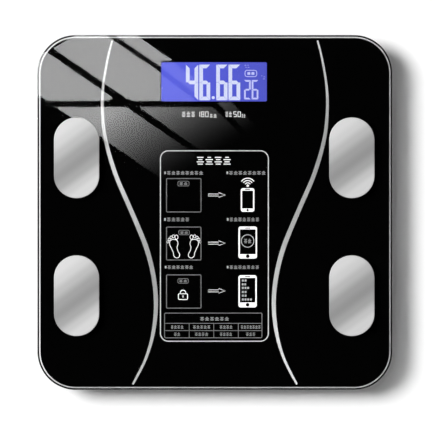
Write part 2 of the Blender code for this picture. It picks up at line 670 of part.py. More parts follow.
def foot_mesh():
    """Moulded foot: a disc with a recess for its pad, a rounded post and three snap lugs."""
    post_top = CELL_BOTTOM - TOUCH
    recess_radius = PAD_RADIUS + TOUCH
    recess_top = PAD_THICKNESS + TOUCH
    edge = 0.8 * MM
    bm = bmesh.new()
    profile = [
        (FOOT_RADIUS - edge, FOOT_RIM_HEIGHT),
        (FOOT_RADIUS, FOOT_RIM_HEIGHT + edge),
        (FOOT_RADIUS, FOOT_DISC_TOP - edge),
        (FOOT_RADIUS - edge, FOOT_DISC_TOP),
        (FOOT_POST_RADIUS + edge, FOOT_DISC_TOP),
        (FOOT_POST_RADIUS, FOOT_DISC_TOP + edge),
        (FOOT_POST_RADIUS, post_top - 2 * edge),
        (FOOT_POST_RADIUS * 0.75, post_top - edge / 2),
        (FOOT_POST_RADIUS * 0.4, post_top),
    ]
    add_stack(bm, profile, 24)
    mesh = mesh_from("foot", bm)
    recess = bmesh.new()
    add_stack(recess, [(recess_radius, 0), (recess_radius, recess_top)], 24)
    mesh = cut(mesh, recess)
    lug_top = FOOT_DISC_TOP
    for turn in range(3):
        lug = bmesh.new()
        add_box(
            lug,
            (FOOT_RADIUS - 1.5 * MM, -FOOT_LUG_WIDTH / 2, lug_top - FOOT_LUG_HEIGHT),
            (GROOVE_RADIUS - SLIDE_PLAY, FOOT_LUG_WIDTH / 2, lug_top),
        )
        rotation = Matrix.Rotation(math.radians(60 + 120 * turn), 4, "Z")
        bmesh.ops.transform(lug, matrix=rotation, verts=lug.verts)
        mesh = join(mesh, lug)
    return mesh


def pad_mesh():
    """Rubber pad with a rounded lower edge."""
    edge = 0.5 * MM
    bm = bmesh.new()
    add_stack(bm, [(PAD_RADIUS - edge, 0), (PAD_RADIUS, edge), (PAD_RADIUS, PAD_THICKNESS)], 24)
    return mesh_from("foot_pad", bm)


def make_corners(parent):
    """Four corners, each with its load cell, carrier, foot and pad on one vertical axis."""
    pieces = {
        "load_cell": (load_cell_mesh(), "spring_steel"),
        "load_cell_carrier": (carrier_mesh(), "white_plastic"),
        "foot": (foot_mesh(), "black_plastic"),
        "foot_pad": (pad_mesh(), "grey_rubber"),
    }
    for mesh, material in pieces.values():
        mesh.materials.append(bpy.data.materials[material])
    for name in CORNERS:
        axis = bpy.data.objects.new("corner_" + name, None)
        bpy.context.scene.collection.objects.link(axis)
        axis.parent = parent
        axis.matrix_local = corner_matrix(name)
        for piece, (mesh, _) in pieces.items():
            new_object(f"{piece}_{name}", mesh, None, axis)


# ---- display and circuit board --------------------------------------------------------------------


def make_display(parent):
    """Display glass, its light guide, the rubber connector strip and the holder round them."""
    middle = (0, DISPLAY_Y, 0)
    bm = bmesh.new()
    add_prism(bm, rounded_outline(PANEL_WIDTH, PANEL_DEPTH), PANEL_BOTTOM, PANEL_BOTTOM + PANEL_THICKNESS)
    new_object("display_panel", mesh_from("display_panel", bm), "display_blue", parent, middle)

    strip_bottom = BOARD_TOP + TOUCH
    strip_y = -PANEL_DEPTH / 2 + STRIP_THICKNESS / 2 + TOUCH
    bm = bmesh.new()
    add_prism(
        bm,
        rounded_outline(WINDOW_WIDTH, STRIP_THICKNESS, centre=(0, strip_y)),
        strip_bottom, strip_bottom + STRIP_HEIGHT,
    )
    new_object("connector_strip", mesh_from("connector_strip", bm), "connector_rubber", parent, middle)

    light_low = strip_y + STRIP_THICKNESS / 2 + 2 * TOUCH
    light_high = PANEL_DEPTH / 2 - TOUCH
    light_top = PANEL_BOTTOM - TOUCH
    bm = bmesh.new()
    add_box(
        bm,
        (-WINDOW_WIDTH / 2, light_low, light_top - BACKLIGHT_THICKNESS),
        (WINDOW_WIDTH / 2, light_high, light_top),
    )
    new_object("backlight_guide", mesh_from("backlight_guide", bm), "backlight_white", parent, middle)

    bm = bmesh.new()
    holder_top = GLASS_BOTTOM - TOUCH
    add_prism(bm, rounded_outline(HOLDER_WIDTH, HOLDER_DEPTH, MM, 3), strip_bottom, holder_top)
    mesh = mesh_from("display_holder", bm)
    inside = bmesh.new()
    inner = rounded_outline(PANEL_WIDTH + 2 * TOUCH, PANEL_DEPTH + 2 * TOUCH)
    add_prism(inside, inner, strip_bottom - MM, holder_top + MM)
    new_object("display_holder", cut(mesh, inside), "white_plastic", parent, middle)


def make_board(parent):
    """Circuit board with its controller, radio module and switch, and the screws that hold it."""
    bm = bmesh.new()
    middle_y = (BOARD_UPPER_EDGE + BOARD_LOWER_EDGE) / 2
    depth = BOARD_UPPER_EDGE - BOARD_LOWER_EDGE
    add_prism(bm, rounded_outline(BOARD_WIDTH, depth, 2 * MM, 3, (0, middle_y)), BOARD_BOTTOM, BOARD_TOP)
    mesh = mesh_from("circuit_board", bm)
    holes = bmesh.new()
    hole = SCREW_RADIUS + 2 * TOUCH
    for place in boss_places():
        add_stack(holes, [(hole, BOARD_BOTTOM - MM), (hole, BOARD_TOP + MM)], 12, place)
    new_object("circuit_board", cut(mesh, holes), "board_green", parent)

    bm = bmesh.new()
    seat = BOARD_TOP + TOUCH
    profile = [
        (SCREW_RADIUS, TRAY_FLOOR + 2 * TOUCH - seat),
        (SCREW_RADIUS, 0),
        (SCREW_HEAD_RADIUS, 0),
        (SCREW_HEAD_RADIUS, SCREW_HEAD_HEIGHT * 0.6),
        (SCREW_HEAD_RADIUS * 0.6, SCREW_HEAD_HEIGHT),
    ]
    add_stack(bm, profile, 12)
    screw = mesh_from("board_screw", bm)
    for long, short in ((SCREW_HEAD_RADIUS, 0.6 * MM), (0.6 * MM, SCREW_HEAD_RADIUS)):
        blade = bmesh.new()
        add_prism(blade, rounded_outline(long, short), SCREW_HEAD_HEIGHT * 0.55, SCREW_HEAD_HEIGHT + MM)
        screw = cut(screw, blade)
    screw.materials.append(bpy.data.materials["spring_steel"])
    for number, (x, y) in enumerate(boss_places(), start=1):
        new_object(f"board_screw_{number}", screw, None, parent, (x, y, seat))

    bm = bmesh.new()
    add_prism(bm, rounded_outline(CHIP_SIZE, CHIP_SIZE, MM, 2), 0, CHIP_THICKNESS)
    mesh = mesh_from("controller_chip", bm)
    new_object("controller_chip", mesh, "chip_black", parent, (CHIP_X, BUTTON_Y, seat))
    bm = bmesh.new()
    add_prism(bm, rounded_outline(RADIO_WIDTH, RADIO_DEPTH), 0, CHIP_THICKNESS)
    mesh = mesh_from("radio_module", bm)
    new_object("radio_module", mesh, "spring_steel", parent, (BUTTON_X, BUTTON_Y, seat))


def make_button(parent):
    """Unit button in the tray's floor, its plunger, and the switch under the board."""
    axis = (BUTTON_X, BUTTON_Y, 0)
    switch_top = BOARD_BOTTOM - TOUCH
    switch_bottom = switch_top - SWITCH_HEIGHT
    bm = bmesh.new()
    add_prism(bm, rounded_outline(SWITCH_SIZE, SWITCH_SIZE), switch_bottom, switch_top)
    mesh = mesh_from("switch_body", bm)
    bore = bmesh.new()
    add_stack(bore, [(PLUNGER_RADIUS + TOUCH, 0), (PLUNGER_RADIUS + TOUCH, switch_top + MM)], 16)
    new_object("switch_body", cut(mesh, bore), "spring_steel", parent, axis)

    flange_bottom = TRAY_FLOOR + TOUCH
    flange_top = flange_bottom + BUTTON_FLANGE_THICKNESS
    face = TRAY_BOTTOM + BUTTON_RECESS
    bm = bmesh.new()
    profile = [
        (BUTTON_RADIUS - 0.5 * MM, face),
        (BUTTON_RADIUS, face + 0.5 * MM),
        (BUTTON_RADIUS, flange_bottom),
        (BUTTON_FLANGE_RADIUS, flange_bottom),
        (BUTTON_FLANGE_RADIUS, flange_top),
    ]
    add_stack(bm, profile, 24)
    new_object("unit_button", mesh_from("unit_button", bm), "white_plastic", parent, axis)
    bm = bmesh.new()
    plunger_top = switch_bottom + PLUNGER_REACH
    add_stack(bm, [(PLUNGER_RADIUS, flange_top + TOUCH), (PLUNGER_RADIUS, plunger_top)], 16)
    new_object("switch_plunger", mesh_from("switch_plunger", bm), "chip_black", parent, axis)


# ---- batteries ------------------------------------------------------------------------------------


def lying(bm, facing):
    """Turns a body built along +Z to lie along X; facing is +1 or -1."""
    bmesh.ops.transform(bm, matrix=Matrix.Rotation(facing * math.pi / 2, 4, "Y"), verts=bm.verts)


def spring_mesh(facing):
    """Conical coil whose wide end is at its origin, against its contact."""
    curve = bpy.data.curves.new("battery_spring", "CURVE")
    curve.dimensions = "3D"
    curve.bevel_depth = SPRING_WIRE / 2
    curve.bevel_resolution = 1
    curve.use_fill_caps = True
    per_turn = 10
    count = SPRING_TURNS * per_turn + 1
    spline = curve.splines.new("POLY")
    spline.points.add(count - 1)
    travel = SPRING_LENGTH - SPRING_WIRE
    for i, point in enumerate(spline.points):
        share = i / (count - 1)
        radius = SPRING_WIDE_RADIUS + (SPRING_NARROW_RADIUS - SPRING_WIDE_RADIUS) * share
        angle = 2 * math.pi * i / per_turn
        height = SPRING_WIRE / 2 + travel * share
        point.co = (facing * height, radius * math.cos(angle), radius * math.sin(angle), 1)
    return curve


def make_batteries(parent):
    """Two cells side by side, head to tail, with their contacts and springs."""
    bm = bmesh.new()
    body = BATTERY_LENGTH - BATTERY_NUB_LENGTH
    radius = BATTERY_DIAMETER / 2
    edge = 0.5 * MM
    profile = [
        (radius - edge, 0),
        (radius, edge),
        (radius, body - edge),
        (radius - edge, body),
        (BATTERY_NUB_RADIUS, body),
        (BATTERY_NUB_RADIUS, BATTERY_LENGTH),
    ]
    add_stack(bm, profile, 16)
    bmesh.ops.translate(bm, vec=(0, 0, -BATTERY_LENGTH / 2), verts=bm.verts)
    lying(bm, 1)
    cell = mesh_from("battery", bm)
    cell.materials.append(bpy.data.materials["battery_wrap"])

    end = COMPARTMENT_LENGTH / 2
    contact_face = end - TOUCH - CONTACT_THICKNESS
    shift = contact_face - CONTACT_BUMP - TOUCH - BATTERY_LENGTH / 2
    for number, facing in ((1, -1), (2, 1)):
        y = -facing * BATTERY_PITCH / 2
        battery = new_object(f"battery_{number}", cell, None, parent, (facing * shift, y, BATTERY_AXIS))
        battery.rotation_euler.z = 0 if facing > 0 else math.pi
        spring = new_object(
            f"battery_spring_{number}", spring_mesh(facing), "spring_steel", parent,
            (-facing * (contact_face - TOUCH), y, BATTERY_AXIS),
        )
        spring.data.name = f"battery_spring_{number}"

    def contact(name, x_side, centres, bump_y):
        """Flat contact against an end wall; a raised bump meets the nub of the cell in front of it."""
        bm = bmesh.new()
        low = min(centres) - CONTACT_WIDTH / 2
        high = max(centres) + CONTACT_WIDTH / 2
        add_box(
            bm,
            (-CONTACT_THICKNESS / 2, low, -CONTACT_HEIGHT / 2),
            (CONTACT_THICKNESS / 2, high, CONTACT_HEIGHT / 2),
        )
        mesh = mesh_from(name, bm)
        if bump_y is not None:
            bump = bmesh.new()
            bump_profile = [
                (2.4 * MM, 0),
                (1.2 * MM, CONTACT_THICKNESS / 2 + CONTACT_BUMP),
            ]
            add_stack(bump, bump_profile, 12)
            lying(bump, -x_side)
            bmesh.ops.translate(bump, vec=(0, bump_y, 0), verts=bump.verts)
            mesh = join(mesh, bump)
        x = x_side * (end - TOUCH - CONTACT_THICKNESS / 2)
        new_object(name, mesh, "spring_steel", parent, (x, 0, BATTERY_AXIS))

    pitch = BATTERY_PITCH / 2
    contact("battery_contact_bridge", 1, (-pitch, pitch), -pitch)
    contact("battery_contact_positive", -1, (pitch,), pitch)
    contact("battery_contact_negative", -1, (-pitch,), None)


def make_door(parent):
    """Battery door with two hooks on its hinge edge and a folded latch arm on the other.

    The origin is on the hinge axis, along the door's lower edge.
    """
    bm = bmesh.new()
    plate = rounded_outline(DOOR_LENGTH, DOOR_DEPTH, centre=(0, DOOR_DEPTH / 2))
    add_prism(bm, plate, 0, DOOR_THICKNESS)
    mesh = mesh_from("battery_door", bm)
    sunk = DOOR_THICKNESS / 2
    hook_low = DOOR_THICKNESS + 2 * TOUCH
    hook_top = hook_low + MM
    for side in (-1, 1):
        left = side * HOOK_SPREAD - HOOK_WIDTH / 2
        right = side * HOOK_SPREAD + HOOK_WIDTH / 2
        riser = bmesh.new()
        add_box(riser, (left, TOUCH, sunk), (right, 1.3 * MM, hook_top))
        mesh = join(mesh, riser)
        tongue = bmesh.new()
        add_box(tongue, (left, -HOOK_REACH, hook_low), (right, 1.1 * MM, hook_top))
        mesh = join(mesh, tongue)
    arm_out = DOOR_DEPTH - 0.8 * MM
    arm_thickness = 0.7 * MM
    arm_in = arm_out - 1.8 * MM
    arm_top = DOOR_THICKNESS + LATCH_HEIGHT
    half = LATCH_WIDTH / 2 - TOUCH
    # Profile of the folded arm: up from the plate, over and down again to a free end
    fold = [
        (arm_in - arm_thickness, sunk),
        (arm_in, sunk),
        (arm_in, arm_top - arm_thickness),
        (arm_out - arm_thickness, arm_top - arm_thickness),
        (arm_out - arm_thickness, DOOR_THICKNESS + TOUCH),
        (arm_out, DOOR_THICKNESS + TOUCH),
        (arm_out, arm_top),
        (arm_in - arm_thickness, arm_top),
    ]
    arm = bmesh.new()
    add_prism(arm, fold, -half, half)
    # The profile's own axes (x, y, z) become the door's (y, z, x)
    swap = Matrix(((0, 0, 1, 0), (1, 0, 0, 0), (0, 1, 0, 0), (0, 0, 0, 1)))
    bmesh.ops.transform(arm, matrix=swap, verts=arm.verts)
    mesh = join(mesh, arm)
    new_object("battery_door", mesh, "black_plastic", parent, (0, DOOR_AXIS_Y, TRAY_BOTTOM))


# ---- leads ----------------------------------------------------------------------------------------


def smooth_route(points, spacing):
    """Evenly spaced points on a smooth curve through the route's own points."""
    ends = [2 * points[0] - points[1], *points, 2 * points[-1] - points[-2]]
    dense = []
    for a, b, c, d in zip(ends, ends[1:], ends[2:], ends[3:]):
        before, here, after = (b - a).length, (c - b).length, (d - c).length
        leave = (b - a) * (here / before) - (c - a) * (here / (before + here)) + (c - b)
        arrive = (c - b) - (d - b) * (here / (here + after)) + (d - c) * (here / after)
        for i in range(16):
            t = i / 16
            place = b * (1 - 3 * t**2 + 2 * t**3) + c * (3 * t**2 - 2 * t**3)
            place += leave * (t - 2 * t**2 + t**3) + arrive * (t**3 - t**2)
            # It lies level: it never dips below or rises above the two points it joins
            place.z = min(max(place.z, min(b.z, c.z)), max(b.z, c.z))
            dense.append(place)
    dense.append(points[-1])
    lengths = [0.0]
    for a, b in zip(dense, dense[1:]):
        lengths.append(lengths[-1] + (b - a).length)
    count = max(2, round(lengths[-1] / spacing))
    route = []
    at = 0
    for i in range(count + 1):
        wanted = lengths[-1] * i / count
        while at < len(lengths) - 2 and lengths[at + 1] < wanted:
            at += 1
        share = (wanted - lengths[at]) / (lengths[at + 1] - lengths[at])
        route.append(dense[at].lerp(dense[at + 1], share))
    return route


def make_lead(name, parent, points, radius, material, step=LEAD_STEP):
    """Insulated lead along its route, with closed ends."""
    curve = bpy.data.curves.new(name, "CURVE")
    curve.dimensions = "3D"
    curve.bevel_depth = radius
    curve.bevel_resolution = 2
    curve.use_fill_caps = True
    route = smooth_route([Vector(p) for p in points], step)
    spline = curve.splines.new("POLY")
    spline.points.add(len(route) - 1)
    for point, place in zip(spline.points, route):
        point.co = (*place, 1)
    new_object(name, curve, material, parent)


def load_cell_route(name):
    """From the load cell, out of its tower, to the board's side (toes) or its lower edge (heels)."""
    side, side_y = CORNERS[name]
    turn = corner_matrix(name)
    slot_height = CARRIER_TOP + TOUCH + CELL_LEAD_RADIUS
    pad_height = BOARD_TOP + TOUCH + CELL_LEAD_RADIUS
    route = [
        turn @ Vector((CELL_WIDTH / 2 + TOUCH, 0, slot_height)),
        turn @ Vector((TOWER_RADIUS + 2 * MM, 0, slot_height)),
    ]
    if side_y > 0:
        edge = BOARD_WIDTH / 2
        level = DISPLAY_Y - HOLDER_DEPTH / 2
        route.append((side * (edge + 11 * MM), level - 1 * MM, LEAD_HEIGHT + 0.5 * MM))
        route.append((side * (edge + 3 * MM), level, pad_height))
        route.append((side * (edge - 5 * MM), level, pad_height))
        return route
    lane = DOOR_OPENING_LENGTH / 2 + COMPARTMENT_WALL + 5 * MM
    route.append((side * (lane + 14 * MM), HEEL_ELECTRODE_Y + 8 * MM, LEAD_HEIGHT))
    route.append((side * (lane + 2 * MM), -DOOR_OPENING_DEPTH / 2 - 6 * MM, LEAD_HEIGHT))
    route.append((side * lane, 10 * MM, LEAD_HEIGHT))
    route.append((side * lane, BOARD_LOWER_EDGE - 14 * MM, LEAD_HEIGHT))
    route.append((side * lane, BOARD_LOWER_EDGE - 3 * MM, pad_height))
    route.append((side * lane, BOARD_LOWER_EDGE + 5 * MM, pad_height))
    return route


def electrode_route(name):
    """From the stud's end to the board's side (toes) or its lower edge (heels)."""
    side, side_y = CORNERS[name]
    x, _, stud_y = electrode_places()[name]
    stud_end = GLASS_BOTTOM - 3 * TOUCH - STUD_WASHER_THICKNESS - STUD_NUT_HEIGHT - STUD_TAIL
    pad_height = BOARD_TOP + TOUCH + ELECTRODE_LEAD_RADIUS
    route = [
        (x, stud_y, stud_end),
        (x, stud_y, stud_end - 1.2 * MM),
        (x - side * 6 * MM, stud_y + 3 * MM, LEAD_HEIGHT),
    ]
    if side_y > 0:
        edge = BOARD_WIDTH / 2
        level = LOWER_SCREW_Y + SCREW_HEAD_RADIUS + 4 * MM
        route.append((side * (edge + 16 * MM), level - 8 * MM, LEAD_HEIGHT))
        route.append((side * (edge + 3 * MM), level, pad_height))
        route.append((side * (edge - 5 * MM), level, pad_height))
        return route
    lane = DOOR_OPENING_LENGTH / 2 + COMPARTMENT_WALL + 9 * MM
    route.append((side * (lane + 16 * MM), stud_y + 18 * MM, LEAD_HEIGHT))
    route.append((side * (lane + 2 * MM), DOOR_OPENING_DEPTH / 2, LEAD_HEIGHT))
    route.append((side * lane, BOARD_LOWER_EDGE - 14 * MM, LEAD_HEIGHT))
    route.append((side * lane, BOARD_LOWER_EDGE - 3 * MM, pad_height))
    route.append((side * lane, BOARD_LOWER_EDGE + 2 * MM, pad_height))
    return route


def battery_route(side, end_x, spread):
    """From a contact's back, through the compartment's wall, to the board's lower edge."""
    y = side * BATTERY_PITCH / 2
    inside = COMPARTMENT_LENGTH / 2
    outside = inside + COMPARTMENT_WALL
    riser_x = -outside - 2 * MM - spread
    above = DOOR_TOP + LATCH_HEIGHT + 2 * MM + TOUCH + BATTERY_LEAD_RADIUS
    pad_height = BOARD_TOP + TOUCH + BATTERY_LEAD_RADIUS
    return [
        (-inside, y, BATTERY_AXIS),
        (-outside, y, BATTERY_AXIS + 0.2 * MM),
        (riser_x, y + 3 * MM, above),
        (riser_x, DOOR_OPENING_DEPTH / 2 + 4 * MM, above),
        (end_x, BOARD_LOWER_EDGE - 14 * MM, pad_height - MM),
        (end_x, BOARD_LOWER_EDGE - 3 * MM, pad_height),
        (end_x, BOARD_LOWER_EDGE + 5 * MM, pad_height),
    ]


def make_leads(parent):
    """Leads inside the tray: one to each load cell, one to each electrode and two to the batteries."""
    for name in CORNERS:
        route = load_cell_route(name)
        make_lead("load_cell_lead_" + name, parent, route, CELL_LEAD_RADIUS, "lead_white")
        route = electrode_route(name)
        make_lead("electrode_lead_" + name, parent, route, ELECTRODE_LEAD_RADIUS, "lead_black")
    positive = battery_route(1, -22 * MM, 0.0)
    negative = battery_route(-1, -26 * MM, 2 * BATTERY_LEAD_RADIUS + TOUCH)
    radius = BATTERY_LEAD_RADIUS
    make_lead("battery_lead_positive", parent, positive, radius, "lead_red", SHORT_LEAD_STEP)
    make_lead("battery_lead_negative", parent, negative, radius, "lead_black", SHORT_LEAD_STEP)


# ---- assembly -------------------------------------------------------------------------------------


def make_materials():
    for name, (colour, metallic, roughness) in MATERIALS.items():
        material = bpy.data.materials.new(name)
        material.use_nodes = True
        shader = material.node_tree.nodes["Principled BSDF"]
        shader.inputs["Base Color"].default_value = (*colour, 1)
        shader.inputs["Metallic"].default_value = metallic
        shader.inputs["Roughness"].default_value = roughness


def main():
    for obj in list(bpy.data.objects):
        bpy.data.objects.remove(obj)
    make_materials()
    scale = bpy.data.objects.new("bathroom_scale", None)
    bpy.context.scene.collection.objects.link(scale)
    make_platform(scale)
    make_electrodes(scale)
    make_tape(scale)
    make_tray(scale)
    make_label(scale)
    make_corners(scale)
    make_display(scale)
    make_board(scale)
    make_button(scale)
    make_batteries(scale)
    make_door(scale)
    make_leads(scale)


main()
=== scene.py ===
import json
import math
import bmesh
import bpy
import numpy as np
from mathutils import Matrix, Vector


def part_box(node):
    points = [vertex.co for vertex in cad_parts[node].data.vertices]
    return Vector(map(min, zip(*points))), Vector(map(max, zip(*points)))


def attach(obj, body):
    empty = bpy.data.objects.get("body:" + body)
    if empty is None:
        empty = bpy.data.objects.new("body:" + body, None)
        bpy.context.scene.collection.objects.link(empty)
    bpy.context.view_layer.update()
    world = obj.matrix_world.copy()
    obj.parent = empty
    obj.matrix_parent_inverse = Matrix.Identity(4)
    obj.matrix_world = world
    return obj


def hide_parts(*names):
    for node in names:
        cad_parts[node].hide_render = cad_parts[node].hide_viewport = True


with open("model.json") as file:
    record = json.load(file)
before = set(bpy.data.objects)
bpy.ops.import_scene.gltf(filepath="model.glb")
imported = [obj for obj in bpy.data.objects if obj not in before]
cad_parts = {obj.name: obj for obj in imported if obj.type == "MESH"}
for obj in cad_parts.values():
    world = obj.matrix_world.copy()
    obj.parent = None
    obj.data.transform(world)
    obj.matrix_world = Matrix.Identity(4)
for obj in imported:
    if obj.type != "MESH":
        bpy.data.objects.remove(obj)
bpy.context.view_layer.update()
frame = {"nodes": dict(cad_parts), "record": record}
mm = 0.001
corners = {"toe_left": (-1, 1), "toe_right": (1, 1), "heel_left": (-1, -1), "heel_right": (1, -1)}

glassLow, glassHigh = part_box("glass_platform")
panelLow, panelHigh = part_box("display_panel")


# shapes: each is (points, faces), worked out as whole arrays

def roundedRect(width, depth, radius, steps, centre=(0, 0)):
    # four corner arcs, each point = corner centre + radius * (cos a, sin a)
    quarter = np.linspace(0, math.pi / 2, steps + 1)
    angles = (quarter[None, :] + np.arange(4)[:, None] * math.pi / 2).ravel()
    signX = np.repeat([1, -1, -1, 1], steps + 1)
    signY = np.repeat([1, 1, -1, -1], steps + 1)
    x = centre[0] + signX * (width / 2 - radius) + radius * np.cos(angles)
    y = centre[1] + signY * (depth / 2 - radius) + radius * np.sin(angles)
    return np.stack([x, y], axis=1)


def circle(radius, steps, centre=(0, 0)):
    angles = np.arange(steps) * 2 * math.pi / steps
    return np.stack([centre[0] + radius * np.cos(angles), centre[1] + radius * np.sin(angles)], axis=1)


def ring(outline, height):
    # a flat outline lifted to one height
    return np.column_stack([outline, np.full(len(outline), height)])


def loft(rings):
    # rings of equally many points, bottom first, joined by quads and closed by a face at each end
    grid = np.stack(rings)
    rows, columns = grid.shape[:2]
    i, j = np.meshgrid(np.arange(rows - 1), np.arange(columns), indexing="ij")
    k = (j + 1) % columns
    above = (i + 1) * columns
    quads = np.stack([i * columns + j, i * columns + k, above + k, above + j], axis=-1)
    faces = quads.reshape(-1, 4).tolist()
    faces.append(list(range(columns))[::-1])
    faces.append(list(range((rows - 1) * columns, rows * columns)))
    return grid.reshape(-1, 3), faces


def slab(outline, low, high):
    return loft([ring(outline, low), ring(outline, high)])


def box(low, high):
    outline = np.array([[low[0], low[1]], [high[0], low[1]], [high[0], high[1]], [low[0], high[1]]])
    return slab(outline, low[2], high[2])


def blockAt(x, y, halfX, halfY, low, high):
    return box((x - halfX, y - halfY, low), (x + halfX, y + halfY, high))


def lathe(profile, steps, centre=(0, 0)):
    # (radius, height) pairs turned about the vertical through centre
    return loft([ring(circle(radius, steps, centre), height) for radius, height in profile])


def band(path, widths, low, high, closed=False, outerLow=None):
    # a rectangle, widths across and from low to high, carried along a flat path;
    # outerLow lowers the top of its right-hand edge, so that the band slopes outwards
    path = np.asarray(path, float)
    if closed:
        along = np.roll(path, -1, axis=0) - np.roll(path, 1, axis=0)
    else:
        along = np.gradient(path, axis=0)
    along /= np.linalg.norm(along, axis=1)[:, None]
    across = np.stack([-along[:, 1], along[:, 0]], axis=1) * (np.asarray(widths) / 2).reshape(-1, 1)
    left, right = path + across, path - across
    rightTop = high if outerLow is None else outerLow
    section = [ring(right, low), ring(right, rightTop), ring(left, high), ring(left, low)]
    grid = np.stack(section, axis=1)
    rows = len(path)
    last = rows if closed else rows - 1
    i, j = np.meshgrid(np.arange(last), np.arange(4), indexing="ij")
    i2, j2 = (i + 1) % rows, (j + 1) % 4
    faces = np.stack([i * 4 + j, i * 4 + j2, i2 * 4 + j2, i2 * 4 + j], axis=-1).reshape(-1, 4).tolist()
    if not closed:
        faces.append([3, 2, 1, 0])
        faces.append([last * 4 + k for k in range(4)])
    return grid.reshape(-1, 3), faces


def joined(shapes):
    points, faces, start = [], [], 0
    for shapePoints, shapeFaces in shapes:
        points.append(np.asarray(shapePoints, float))
        faces += [[start + index for index in face] for face in shapeFaces]
        start += len(shapePoints)
    return np.concatenate(points), faces


def smoothLine(points, count):
    # smooth curve: cubic pieces through the points, with slopes from their neighbours
    points = np.asarray(points, float)
    length = np.concatenate([[0], np.cumsum(np.linalg.norm(np.diff(points, axis=0), axis=1))])
    slope = np.gradient(points, length, axis=0)
    t = np.linspace(0, length[-1], count)
    at = np.clip(np.searchsorted(length, t, side="right") - 1, 0, len(points) - 2)
    span = (length[at + 1] - length[at])[:, None]
    s = ((t - length[at])[:, None]) / span
    return (
        points[at] * (2 * s**3 - 3 * s**2 + 1) + slope[at] * span * (s**3 - 2 * s**2 + s)
        + points[at + 1] * (3 * s**2 - 2 * s**3) + slope[at + 1] * span * (s**3 - s**2)
    )


def makeMesh(name, shapes):
    # one mesh of closed shapes with their faces turned out
    points, faces = joined(shapes)
    mesh = bpy.data.meshes.new(name)
    mesh.from_pydata(points.tolist(), [], faces)
    bm = bmesh.new()
    bm.from_mesh(mesh)
    bmesh.ops.recalc_face_normals(bm, faces=bm.faces)
    bm.to_mesh(mesh)
    bm.free()
    return mesh


def middleOf(low, high):
    # centre of a box as seen from above
    return (low.x + high.x) / 2, (low.y + high.y) / 2


def readArray(items, attribute, width, kind=float):
    values = np.empty(len(items) * width, kind)
    items.foreach_get(attribute, values)
    return values.reshape(-1, width)


def addPiece(name, shapes, material, body, stands=(), angle=32):
    mesh = shapes if isinstance(shapes, bpy.types.Mesh) else makeMesh(name, shapes)
    mesh.name = name
    mesh.materials.clear()
    mesh.materials.append(material)
    mesh.shade_smooth()
    mesh.set_sharp_from_angle(angle=math.radians(angle))
    piece = bpy.data.objects.new(name, mesh)
    bpy.context.scene.collection.objects.link(piece)
    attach(piece, body)
    if stands:
        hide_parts(*stands)
    return piece


def combine(mesh, shapes, operation):
    # cuts shapes out of a mesh, or joins them to it, by an exact Boolean
    tool = bpy.data.objects.new("tool", makeMesh("tool", shapes))
    base = bpy.data.objects.new("base", mesh)
    for helper in (tool, base):
        bpy.context.scene.collection.objects.link(helper)
    modifier = base.modifiers.new("combine", "BOOLEAN")
    modifier.operation = operation
    modifier.solver = "EXACT"
    modifier.object = tool
    graph = bpy.context.evaluated_depsgraph_get()
    result = bpy.data.meshes.new_from_object(base.evaluated_get(graph))
    for helper in (tool, base):
        bpy.data.objects.remove(helper)
    return result


# shader groups shared by the materials

def newGroup(name, inputs, outputs):
    group = bpy.data.node_groups.new(name, "ShaderNodeTree")
    for socketName, kind, value in inputs:
        socket = group.interface.new_socket(socketName, in_out="INPUT", socket_type=kind)
        if value is not None:
            socket.default_value = value
    for socketName, kind in outputs:
        group.interface.new_socket(socketName, in_out="OUTPUT", socket_type=kind)
    start = group.nodes.new("NodeGroupInput")
    end = group.nodes.new("NodeGroupOutput")
    return group, start, end


def addNode(tree, kind, links=None, **settings):
    # settings name either the node's own attributes or its input sockets
    node = tree.nodes.new(kind)
    for key, value in settings.items():
        if hasattr(node, key):
            setattr(node, key, value)
        else:
            node.inputs[key.replace("_", " ")].default_value = value
    for socket, source in (links or {}).items():
        tree.links.new(source, node.inputs[socket])
    return node


def calculate(tree, operation, *values, clamp=False):
    # a Math node whose values are sockets to link or plain numbers
    node = addNode(tree, "ShaderNodeMath", operation=operation, use_clamp=clamp)
    for place, value in enumerate(values):
        if isinstance(value, bpy.types.NodeSocket):
            tree.links.new(value, node.inputs[place])
        else:
            node.inputs[place].default_value = value
    return node.outputs[0]


def objectPlace(tree):
    return addNode(tree, "ShaderNodeTexCoord").outputs["Object"]


def splitAxes(tree, vector):
    return addNode(tree, "ShaderNodeSeparateXYZ", {"Vector": vector}).outputs


def glossAbout(group, start, centred):
    # gloss = Gloss + Gloss Change * centred noise
    change = calculate(group, "MULTIPLY", centred, start.outputs["Gloss Change"])
    return calculate(group, "ADD", change, start.outputs["Gloss"])


